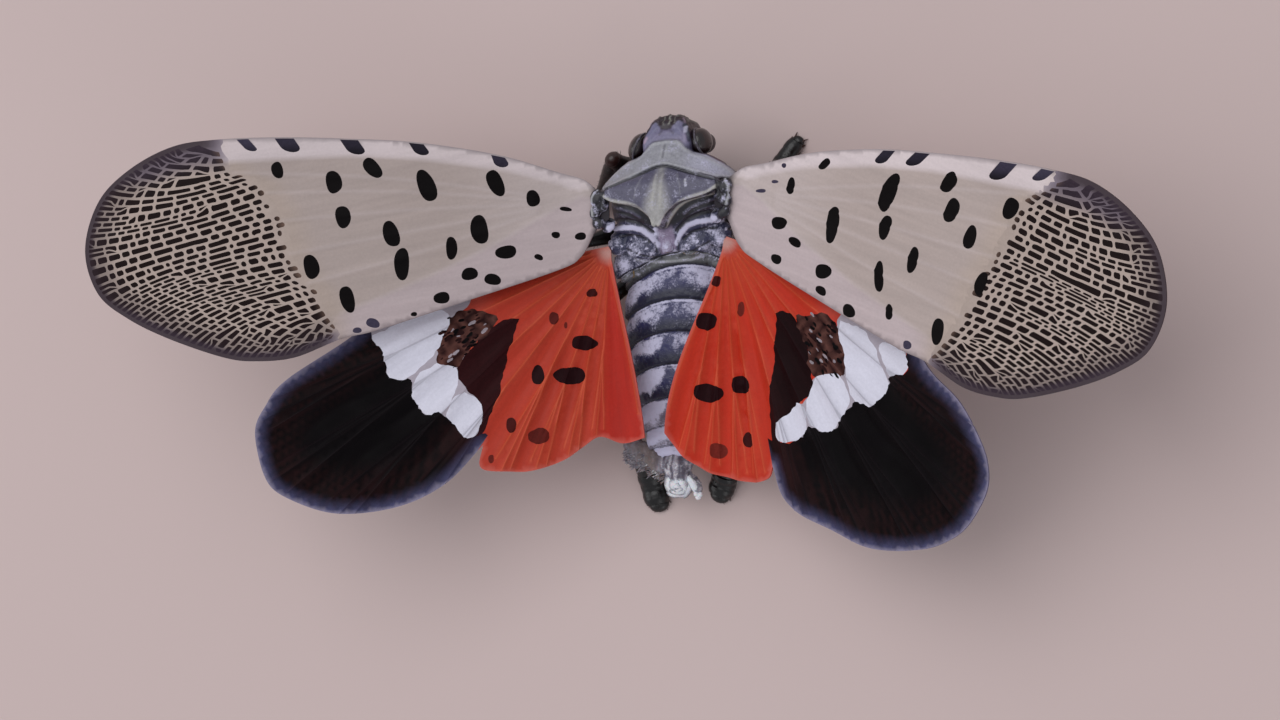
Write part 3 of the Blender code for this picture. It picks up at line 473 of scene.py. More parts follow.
# Bars on the front border: place out along the edge, length inwards, width, lean, how grey
COSTAL_BARS = {
    "left": [(3.9, 0.55, 0.6, 20, 0.5), (7.3, 0.62, 0.62, 30, 0.25), (10.1, 0.78, 0.75, 32, 0.35),
             (12.8, 0.74, 0.8, 32, 0.5), (14.55, 0.72, 0.5, 40, 0.75)],
    "right": [(7.7, 0.75, 0.6, 35, 0.35), (9.35, 0.8, 0.72, 40, 0.35), (13.5, 0.95, 0.8, 35, 0.7),
              (15.35, 0.7, 0.62, 42, 0.8)],
}
GREY_SPOTS = {"left": {18, 19}, "right": {19, 20, 22, 23}}
NET_ROWS = {"left": 29, "right": 29}
ROW_LIMIT = 0.37
DARK_MARGIN = 0.22
STRIPE_RUN = 1.15
MEMBRANE_TONE = linear(168, 153, 149)
MEMBRANE_WARM = linear(170, 153, 144)
MEMBRANE_ROOT = linear(184, 170, 168)
BORDER_TONE = linear(206, 192, 194)
CLAVUS_TONE = linear(182, 166, 168)
SPOT_TONE = linear(9, 5, 6)
GREY_SPOT_TONE = linear(70, 64, 84)
VEIN_TONE = linear(175, 157, 148)
CELL_TONE = linear(26, 15, 15)
CELL_FADED = linear(110, 88, 78)
MARGIN_TONE = linear(60, 46, 54)
TIP_WASH = linear(104, 92, 116)
# The right forewing's leather is painted a tenth brighter than the left's: painted light on the right wing.
LEATHER_PAINTED_LIGHT = {"left": 1.0, "right": 1.1}
ROOT_TAB_TONE = linear(38, 32, 40)

forewing_materials = [
    film_material("forewing_leather", 0.55, 0.07, 0.045, 0.012, streaks_per_mm=2.6, Specular_IOR_Level=0.3),
    film_material("forewing_black_pigment", 0.55, 0.1, 0.16, 0.01, Specular_IOR_Level=0.07),
    film_material("forewing_net_vein", 0.55, 0.04, 0.05, 0.006, Specular_IOR_Level=0.3),
]
LEATHER, PIGMENT, NET_VEIN = range(3)


def forewing_outline(spacing):
    edge = curve_through(COSTAL_EDGE + OUTER_EDGE[1:] + TRAILING_EDGE[::-1][1:], spacing)
    root = [(-0.2, -1.1), (-ROOT_INWARD, -0.75), (-ROOT_INWARD, -0.05), (-0.2, 0.38)]
    return np.concatenate([edge, np.array(root)])


def oval(spot, rng):
    """A spot's ring: a slightly squared and uneven ellipse, leaning towards the wing's tip."""
    out, ahead, length, width, lean = spot
    turns = np.linspace(0.0, 2.0 * math.pi, 26, endpoint=False)
    wobble = 1.0 + 0.05 * np.sin(2 * turns + rng.uniform(0, 6)) + 0.04 * np.sin(3 * turns + rng.uniform(0, 6))
    along = 0.5 * length * np.sign(np.cos(turns)) * np.abs(np.cos(turns)) ** 0.9 * wobble
    across = 0.5 * width * np.sign(np.sin(turns)) * np.abs(np.sin(turns)) ** 0.9 * wobble
    lean = math.radians(lean)
    return np.stack([out + along * math.sin(lean) + across * math.cos(lean),
                     ahead + along * math.cos(lean) - across * math.sin(lean)], axis=1)


def costal_bar(bar):
    """A slanted bar from the front edge inwards, with a rounded inner end."""
    out, length, width, lean, _ = bar
    edge = curve_through(COSTAL_EDGE, 0.1)
    top = np.interp(out, edge[:, 0], edge[:, 1])
    lean = math.radians(lean)
    way = np.array((-math.sin(lean), -math.cos(lean)))
    ring = [(out + side * 0.5 * width, top) for side in (1, -1)]
    for turn in np.linspace(-90, 90, 9):
        turn = math.radians(turn)
        centre = np.array((out, top)) + way * (length - 0.35 * width)
        ring.append(centre + 0.5 * width * np.array((math.sin(turn), 0.0)) + 0.35 * width * math.cos(turn) * way)
    return np.array(ring)


def net_cells(side, outline):
    """The net's dark cells. Rows fan out from the net's edge to the margin, and a row that
    grows too wide is split by a new vein; cross veins cut each row into bricks."""
    rng = random.Random(11 if side == "left" else 12)
    starts = curve_through(NET_EDGE[side], 0.05)
    margin = outline[(outline[:, 0] > 10.0)]
    first = np.argmin(np.abs(margin[:, 0] - 15.9) + 10.0 * (margin[:, 1] < 0))
    last = np.argmin(np.abs(margin[:, 0] - 10.6) + 10.0 * (margin[:, 1] > 0))
    margin = margin[first:last + 1]
    run = np.concatenate([[0.0], np.cumsum(np.linalg.norm(np.diff(margin, axis=0), axis=1))])
    ends_at = ([0.0, 0.15, 0.3, 0.5, 0.7, 0.85, 1.0],
               [run[-1] * share for share in (0.02, 0.235, 0.345, 0.465, 0.6, 0.73, 0.99)])
    centre = np.array((14.0, -2.0))
    wobbles = [(rng.uniform(0, 6.28), rng.uniform(2.5, 5.0), rng.uniform(0, 6.28), rng.uniform(7.0, 12.0))
               for _ in range(NET_ROWS[side] + 1)]

    def vein_point(row, t):
        share = min(1.0, max(0.0, row / NET_ROWS[side]))
        phase_a, speed_a, phase_b, speed_b = wobbles[int(round(row))]
        ease = math.sin(math.pi * min(1.0, t * 1.15)) if t < 0.87 else 0.0
        share += ease * (0.12 * math.sin(phase_a + speed_a * t) + 0.07 * math.sin(phase_b + speed_b * t)) / NET_ROWS[side]
        start = starts[int(share * (len(starts) - 1))] if 0 <= share <= 1 else starts[0 if share < 0 else -1]
        place = np.interp(share, *ends_at)
        end = np.array([np.interp(place, run, margin[:, k]) for k in (0, 1)])
        straight = (end - start) / np.linalg.norm(end - start)
        ahead = np.array([np.interp(place + 0.2, run, margin[:, k]) for k in (0, 1)])
        behind = np.array([np.interp(place - 0.2, run, margin[:, k]) for k in (0, 1)])
        way = ahead - behind
        square = np.array((-way[1], way[0])) / np.linalg.norm(way)
        if square @ (end - centre) < 0:
            square = -square
        arrive = square * 0.55 + straight * 0.45
        bend = end - arrive / np.linalg.norm(arrive) * 0.33 * np.linalg.norm(end - start)
        return (1 - t) ** 2 * start + 2 * t * (1 - t) * bend + t * t * end

    cells = []

    def brick(row, low, high, t0, t1):
        """One cell between two veins, rounded at its corners, with half a vein left free all round."""
        middle = 0.5 * (t0 + t1)
        a, b = vein_point(row, middle), vein_point(row + 1, middle)
        width = np.linalg.norm(b - a) * (high(middle) - low(middle))
        if width < 0.09:
            return
        inset = 0.165
        ring = []
        count = max(2, int((t1 - t0) / 0.022))
        lower = [(t, inset) for t in np.linspace(t0, t1, count + 1)]
        upper = [(t, 1.0 - inset) for t in np.linspace(t1, t0, count + 1)]
        nudge = min(0.3 * (t1 - t0), 0.006)
        for line, end in ((lower, 1), (upper, -1)):
            line[0] = (line[0][0] + end * nudge, line[0][1])
            line[-1] = (line[-1][0] - end * nudge, line[-1][1])
            line.append((t1 if end > 0 else t0, 0.5 + (0.5 - inset) * (-0.45 if end > 0 else 0.45)))
            line.append((t1 if end > 0 else t0, 0.5 + (0.5 - inset) * (0.45 if end > 0 else -0.45)))
            ring += line
        shape = []
        for t, share in ring:
            a, b = vein_point(row, t), vein_point(row + 1, t)
            shape.append(a + (b - a) * (low(t) + (high(t) - low(t)) * share))
        cells.append((np.array(shape), middle))

    def grow(row, low, high, t):
        """Fills a strip between two veins from t to the margin, and splits it where it is too wide."""
        length = np.linalg.norm(vein_point(row, 1.0) - vein_point(row, 0.0))
        stop = 1.0 - DARK_MARGIN / length
        limit = ROW_LIMIT * rng.uniform(0.88, 1.15)
        while t < stop - 0.01:
            step = rng.lognormvariate(math.log(0.56), 0.36) / length
            if t < 0.1:
                step *= 0.62
            if (1.0 - t) * length < STRIPE_RUN:
                step = 1.0
            after = min(stop, t + max(step, 0.24 / length))
            if stop - after < 0.3 / length:
                after = stop
            gap = 0.055 / length
            brick(row, low, high, t + gap, after - (0.0 if after == stop else gap))
            t = after
            a, b = vein_point(row, t), vein_point(row + 1, t)
            width = np.linalg.norm(b - a) * (high(t) - low(t))
            if width > limit and t < stop - 0.05:
                from_low = rng.random() < 0.5
                settle = 0.45 / length
                born = t

                def middle(at, low=low, high=high, from_low=from_low, born=born, settle=settle):
                    grown = 0.5 * float(smooth_step(0.0, 1.0, (at - born) / settle)) if settle else 0.5
                    share = grown if from_low else 1.0 - grown
                    return low(at) + (high(at) - low(at)) * share

                grow(row, low, middle, t)
                grow(row, middle, high, t)
                return

    for row in range(NET_ROWS[side]):
        grow(row, lambda t: 0.0, lambda t: 1.0, rng.uniform(-0.01, 0.05))
    return cells


def make_forewing(side):
    rng = np.random.default_rng(21 if side == "left" else 22)
    outline = forewing_outline(0.14)
    cells = net_cells(side, outline)
    spots = [oval(spot, rng) for spot in SPOTS[side]]
    bars = [costal_bar(bar) for bar in COSTAL_BARS[side]]
    shapes, kinds = [], [LEATHER]
    cell_from = len(shapes)
    for cell, _ in cells:
        shapes.append(kept_in(cell, outline, 0.16))
        kinds.append(PIGMENT)
    spot_from = len(shapes)
    for ring in spots + bars:
        shapes.append(kept_in(ring, outline, 0.05))
        kinds.append(PIGMENT)
    main_veins = [curve_through(COSTAL_VEIN, 0.15), curve_through(CLAVAL_FOLD, 0.15)]
    net_start = curve_through(NET_EDGE[side], 0.05)
    for share, sag in ((0.12, 0.25), (0.3, 0.2), (0.45, 0.1), (0.6, 0.0), (0.76, -0.15)):
        end = net_start[int(share * (len(net_start) - 1))]
        start = np.array((2.3, 0.35 - 1.1 * share))
        middle = 0.5 * (start + end) + np.array((0.0, sag))
        main_veins.append(curve_through([start, middle, end], 0.2))
    lines = [line for vein in main_veins for line in parallel_lines(vein, 0.13)]
    verts, triangles, holders = cut_film(outline, shapes, lines, 0.19, 5)

    rim = outline[:-2]
    to_margin = distance_to(verts, rim)
    to_vein = np.min([distance_to(verts, vein) for vein in main_veins], axis=0)
    camber = -0.25 * np.clip(1.0 - to_margin / 3.0, 0.0, 1.0) ** 2
    wrinkle = 0.012 * np.sin(verts[:, 1] * 7.0 + 1.5 * np.sin(verts[:, 0] * 0.8)) * smooth_step(0.2, 1.0, to_margin)
    ridge = 0.045 * np.clip(1.0 - to_vein / 0.13, 0.0, 1.0)
    net_line = curve_through(NET_EDGE[side], 0.1)
    beyond = np.interp(verts[:, 1], net_line[::-1, 1], net_line[::-1, 0])
    in_net = smooth_step(-0.1, 0.3, verts[:, 0] - beyond)
    lift = camber + wrinkle * (1 - in_net) + ridge * (1 - in_net) + 0.02 * np.exp(-(to_margin / 0.1) ** 2)
    top = lift + 0.5 * FILM
    bottom = lift - 0.5 * FILM
    kinds = np.array(kinds)
    kind = kinds[holders]
    centres = verts[triangles].mean(axis=1)
    centre_beyond = np.interp(centres[:, 1], net_line[::-1, 1], net_line[::-1, 0])
    net_here = (centres[:, 0] > centre_beyond - 0.05) & (kind == LEATHER)
    kind[net_here] = NET_VEIN
    pigment_corner = np.zeros(len(verts), bool)
    for k in range(3):
        pigment_corner[triangles[(holders > cell_from) & (holders <= spot_from)][:, k]] = True

    corners = verts[triangles]
    flat = corners.reshape(-1, 2)
    margin_corner = to_margin[triangles].reshape(-1)
    strip = np.interp(flat[:, 0], *np.array(COSTAL_VEIN).T)
    in_strip = smooth_step(-0.06, 0.1, flat[:, 1] - strip) * smooth_step(16.6, 15.0, flat[:, 0])
    fold = np.interp(flat[:, 0], *np.array(CLAVAL_FOLD).T)
    in_clavus = smooth_step(0.05, -0.12, flat[:, 1] - fold) * smooth_step(11.2, 9.5, flat[:, 0])
    past = flat[:, 0] - np.interp(flat[:, 1], net_line[::-1, 1], net_line[::-1, 0])
    near_net = smooth_step(-1.4, -0.1, past) * smooth_step(0.9, 0.0, past)
    ground = mixed(MEMBRANE_TONE, MEMBRANE_WARM, 0.2 + 0.8 * near_net)
    ground = mixed(ground, MEMBRANE_ROOT, 0.7 * smooth_step(6.5, 1.5, flat[:, 0]))
    ground = mixed(ground, CLAVUS_TONE, in_clavus * 0.9)
    ground = mixed(ground, BORDER_TONE, in_strip * 0.9)
    near_vein = np.repeat(np.clip(1.0 - to_vein / 0.14, 0.0, 1.0)[None], 1, axis=0)[0][triangles].reshape(-1)
    ground = mixed(ground, BORDER_TONE, near_vein * 0.18)
    in_margin = 0.5 * smooth_step(1.5, 0.5, margin_corner) + 0.5 * smooth_step(0.45, 0.22, margin_corner)
    in_margin = in_margin * smooth_step(-0.4, 0.8, past)
    tip = smooth_step(14.4, 15.8, flat[:, 0]) * smooth_step(1.6, 0.5, margin_corner) * smooth_step(0.2, 1.2, flat[:, 1])
    low_tip = smooth_step(0.5, 0.2, margin_corner) * smooth_step(-3.8, -5.2, flat[:, 1]) * smooth_step(-0.5, 0.3, past)
    wash = np.clip(tip + low_tip, 0.0, 1.0)
    vein = mixed(ground, VEIN_TONE, smooth_step(0.0, 0.8, past))
    vein = mixed(mixed(vein, TIP_WASH, wash * 0.75), MARGIN_TONE, in_margin)
    rim_line = smooth_step(0.1, 0.03, margin_corner)
    ground = mixed(ground, MARGIN_TONE, rim_line * 0.55)
    # The leather is scaled by the painted light of its side, a tenth brighter on the right wing.
    ground = mixed(ground * LEATHER_PAINTED_LIGHT[side], ROOT_TAB_TONE, smooth_step(0.1, -0.15, flat[:, 0]))
    cell = mixed(mixed(CELL_TONE, CELL_FADED, smooth_step(0.5, -0.1, past)), MARGIN_TONE, in_margin * 0.5)
    cell = mixed(cell, TIP_WASH, wash * 0.12)
    spot = np.repeat(SPOT_TONE[None], len(flat), axis=0)
    bar_grey = np.zeros(len(shapes) + 1)
    for k, bar in enumerate(COSTAL_BARS[side]):
        bar_grey[1 + spot_from + len(spots) + k] = bar[4]
    for k in GREY_SPOTS[side]:
        bar_grey[1 + spot_from + k] = 0.8
    greyness = np.repeat(bar_grey[holders], 3) * np.where(in_strip > 0.5, smooth_step(0.9, 0.1, margin_corner), 1.0)
    spot = mixed(spot, GREY_SPOT_TONE, greyness)
    which = np.repeat(kind, 3)
    held = np.repeat(holders, 3)
    paint = np.where((which == LEATHER)[:, None], ground, vein)
    paint = np.where(((which == PIGMENT) & (held <= spot_from))[:, None], cell, paint)
    paint = np.where(((which == PIGMENT) & (held > spot_from))[:, None], spot, paint)
    sunk = 0.02 * in_net * pigment_corner
    top = top - sunk

    turned = np.stack([verts[:, 1] + 0.2 * verts[:, 0], verts[:, 0]], axis=1)
    return film_object("wing_fore_" + side, side, FOREWING_HINGE, 0.0, verts, triangles, top, bottom,
                       kind, paint.reshape(-1, 3, 3), turned, forewing_materials)


forewings = {}
for side in SIDES:
    forewings[side] = make_forewing(side)
    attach(forewings[side], "root")
    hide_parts("forewing_" + side)

# Hindwings: broad pleated fans under the forewings. The inner part is red with black spots, the
# outer part is black with a bluish border, and ragged white patches lie between the two.
INNER_BOW = {"left": 0.1, "right": 0.35}
ROOT_CHORD = 0.9
ROOT_SLANT = 0.45
PLEAT_DEPTH = 0.18
# Outline: angle from straight back outwards in degrees, and distance from the root
HINDWING_OUTLINE = {
    "left": [
        (-11.5, 7.95), (-4.0, 8.05), (3.7, 7.8), (12.0, 8.9), (19.0, 9.7),
        (24.0, 10.1), (30.5, 10.55), (33.0, 9.7), (35.0, 11.9), (39.5, 13.9), (46.0, 15.85),
        (52.8, 17.05), (57.0, 17.2), (62.6, 16.65), (65.5, 15.75), (68.0, 14.5), (72.0, 11.0), (80.0, 9.2),
    ],
    "right": [
        (-13.1, 8.5), (-8.5, 9.05), (-3.3, 9.45), (2.6, 9.75), (12.0, 10.05), (17.4, 10.0), (19.2, 9.55),
        (21.1, 11.05), (29.2, 12.65), (37.4, 14.5), (45.1, 15.8), (49.5, 16.3), (53.8, 16.55), (57.9, 16.35),
        (61.5, 15.9), (64.2, 15.15), (67.7, 13.35), (70.0, 11.2), (78.0, 9.2),
    ],
}
HINDWING_VEINS = {
    "left": [3.7, 11.0, 18.5, 26.5, 37.0, 46.0, 55.0, 64.0, 76.0],
    "right": [-6.0, 1.5, 9.0, 15.0, 25.5, 36.0, 45.5, 54.5, 64.0],
}
# Patches, as angle and distance: dark outer field, dark wedge, brown mottle, then the white ones
DARK_FIELD = {
    "left": [(33.3, 9.2), (34.8, 9.3), (36.5, 9.75), (38.4, 9.85), (44.3, 9.75), (46.4, 9.85), (48.4, 10.3), (53.4, 10.25),
             (56.7, 9.9), (58.0, 10.3), (60.1, 10.65), (65.4, 10.4), (69.4, 10.6), (74.0, 10.2), (82.0, 9.8)],
    "right": [(19.2, 8.4), (22.7, 8.55), (26.5, 8.85), (31.0, 8.85), (35.2, 8.65), (39.3, 9.3), (43.9, 9.35),
              (47.5, 9.2), (51.2, 9.2), (54.6, 9.95), (60.6, 10.05), (63.0, 9.95), (66.4, 10.5), (70.0, 10.1),
              (80.0, 9.4)],
}
DARK_WEDGE = {
    "left": [(52.8, 4.8), (48.0, 5.5), (43.6, 6.25), (37.6, 7.6), (36.0, 8.5), (33.9, 9.75), (37.5, 9.8),
             (40.0, 8.5), (46.0, 8.3), (51.0, 8.2), (54.5, 7.2), (56.5, 6.0), (56.0, 5.2)],
    "right": [(45.1, 3.85), (38.0, 4.5), (34.3, 4.95), (25.1, 6.5), (21.0, 8.0), (20.3, 8.8), (24.0, 8.6),
              (27.0, 8.0), (33.0, 7.7), (41.0, 7.5), (46.5, 6.6), (50.0, 5.6), (53.0, 4.6), (50.0, 4.0)],
}
BROWN_MOTTLE = {
    "left": [(54.0, 7.4), (56.0, 6.2), (58.0, 5.6), (62.0, 5.8), (66.5, 6.4), (67.5, 7.2), (64.0, 7.9),
             (59.5, 8.4), (56.0, 8.5), (52.5, 8.2)],
    "right": [(55.0, 4.7), (61.0, 5.2), (66.5, 6.0), (64.5, 6.7), (60.5, 7.2), (55.8, 8.1), (52.0, 8.0),
              (47.0, 7.3), (44.5, 7.0), (48.5, 6.0), (51.0, 5.0)],
}
WHITE_PATCHES = {
    "left": [
        [(70.4, 9.9), (71.3, 8.6), (70.4, 7.5), (66.5, 7.3), (63.6, 7.65), (59.2, 8.5), (57.9, 9.3), (57.4, 10.1),
         (60.1, 10.65), (65.4, 10.4), (69.4, 10.7)],
        [(56.4, 8.65), (52.4, 8.1), (49.0, 8.4), (47.0, 8.9), (46.0, 9.75), (48.4, 10.3), (53.4, 10.25), (56.9, 9.5)],
        [(45.8, 8.45), (41.0, 8.35), (37.6, 8.7), (35.9, 9.55), (38.4, 9.9), (44.3, 9.75), (46.2, 9.0)],
    ],
    "right": [
        [(67.2, 6.6), (61.2, 7.0), (55.9, 8.0), (51.5, 8.8), (52.0, 9.65), (54.6, 9.95), (60.6, 10.05), (63.9, 9.45),
         (66.4, 8.7), (68.6, 7.8)],
        [(45.2, 7.2), (49.0, 7.35), (52.6, 7.95), (50.5, 8.85), (47.5, 9.2), (43.9, 9.35), (39.3, 9.3), (36.0, 8.6),
         (37.4, 7.75), (41.0, 7.3)],
        [(34.2, 7.5), (36.4, 7.9), (35.1, 8.5), (31.0, 8.85), (26.5, 8.85), (22.7, 8.5), (23.7, 8.0), (28.0, 7.75)],
        [(64.6, 9.5), (67.0, 8.9), (69.3, 9.0), (69.6, 10.0), (66.4, 10.5), (63.2, 10.1)],
    ],
}
WHITE_BED = {
    "left": [(79.0, 9.9), (79.0, 8.3), (76.0, 6.9), (73.0, 6.2), (68.0, 6.4), (66.0, 7.3), (59.0, 8.3), (54.5, 7.5),
             (49.0, 7.9), (45.8, 8.0), (41.0, 8.0), (37.6, 8.3), (35.0, 9.3), (38.4, 10.1), (48.0, 10.6),
             (60.0, 10.9), (70.0, 10.8)],
    "right": [(76.0, 9.9), (76.0, 7.6), (72.0, 6.8), (67.2, 6.5), (61.2, 7.0), (56.0, 7.8), (49.0, 7.35),
              (45.2, 7.2), (41.0, 7.3), (36.4, 7.7), (34.2, 7.5), (28.0, 7.75), (23.7, 8.0), (22.5, 8.5), (31.0, 9.0),
              (40.0, 9.5), (52.0, 10.0), (62.0, 10.4)],
}
# Spots of the red part: angle, distance, length out, width, and how faint
RED_SPOTS = {
    "left": [(23.2, 1.96, 0.36, 0.48, 0.1), (39.7, 3.7, 0.5, 0.42, 0.25), (30.7, 3.65, 0.3, 0.16, 0.4),
             (15.9, 4.03, 0.62, 1.05, 0.0), (30.0, 6.02, 0.76, 0.56, 0.0), (17.8, 5.5, 0.74, 1.3, 0.0),
             (29.4, 8.38, 0.62, 0.46, 0.15), (20.9, 8.29, 0.66, 0.9, 0.3), (29.5, 10.0, 0.34, 0.22, 0.4)],
    "right": [(-7.9, 1.77, 0.45, 0.42, 0.1), (-8.6, 3.5, 0.78, 0.86, 0.0), (18.8, 2.94, 0.62, 0.3, 0.45),
              (-1.6, 6.41, 0.8, 1.22, 0.0), (11.9, 6.03, 0.76, 0.86, 0.0), (3.0, 8.76, 0.6, 0.78, 0.5),
              (12.5, 8.31, 0.6, 0.6, 0.1)],
}
RED_TONE = linear(186, 45, 25)
RED_DULL = linear(160, 62, 46)
RED_ROOT_TONE = linear(186, 54, 30)
ROOT_TIP_TONE = linear(196, 146, 138)
LOBE_TONE = linear(172, 36, 24)
RED_EDGE_TONE = linear(204, 104, 92)
RED_VEIN_TONE = linear(220, 108, 72)
BLACK_TONE = linear(5, 2, 4)
BROWN_BLACK_TONE = linear(38, 16, 17)
BROWN_TONE = linear(92, 58, 52)
RED_SPOT_TONE = linear(34, 10, 14)
WHITE_TONE = linear(216, 214, 228)
WEDGE_TONE = linear(48, 14, 17)
DARK_VEIN_TONE = linear(40, 32, 36)
BED_TONE = linear(170, 161, 172)
BLUE_EDGE_TONE = linear(84, 84, 120)
PALE_LINE_TONE = linear(150, 142, 162)

hindwing_materials = [
    film_material("hindwing_red_film", 0.5, 0.1, 0.05, 0.01, streaks_per_mm=3.0, Specular_IOR_Level=0.16),
    film_material("hindwing_black_film", 0.55, 0.16, 0.14, 0.01, streaks_per_mm=6.0, Specular_IOR_Level=0.06),
    film_material("hindwing_white_wax", 0.7, 0.04, 0.05, 0.012, Specular_IOR_Level=0.3),
]
RED_FILM, BLACK_FILM, WHITE_WAX = range(3)


def polar(points):
    """Angle from straight back outwards, and distance, as places on the wing's chart."""
    points = np.array(points, float)
    turn = np.radians(points[:, 0])
    return np.stack([points[:, 1] * np.sin(turn), -points[:, 1] * np.cos(turn)], axis=1)


def hindwing_outline(side):
    """Root, inner margin with its slight bow, scalloped outer margin, and front edge."""
    rays = HINDWING_OUTLINE[side]
    shares = np.linspace(0.0, 1.0, 50)
    root_in = np.array((-0.08, -0.45))
    root_out = np.array((0.0, 0.15 * ROOT_CHORD))
    corner, last = polar([rays[0], rays[-1]])
    bow = 6.75 * shares ** 2 * (1.0 - shares)
    inner = root_in + shares[:, None] * (corner - root_in) - np.stack([INNER_BOW[side] * bow, 0 * bow], axis=1)
    notch = min(range(3, len(rays) - 3), key=lambda k: rays[k][1] - 0.5 * (rays[k - 1][1] + rays[k + 1][1]))
    outer = np.concatenate([curve_through(polar(rays[:notch + 1]), 0.13)[1:],
                            curve_through(polar(rays[notch:]), 0.13)[1:]])
    front = last + np.linspace(0.0, 1.0, 60)[1:, None] * (root_out - last)
    tucked = np.array([(0.1, 0.18), (-0.05, -0.05)])
    return np.concatenate([inner, outer, front, tucked])


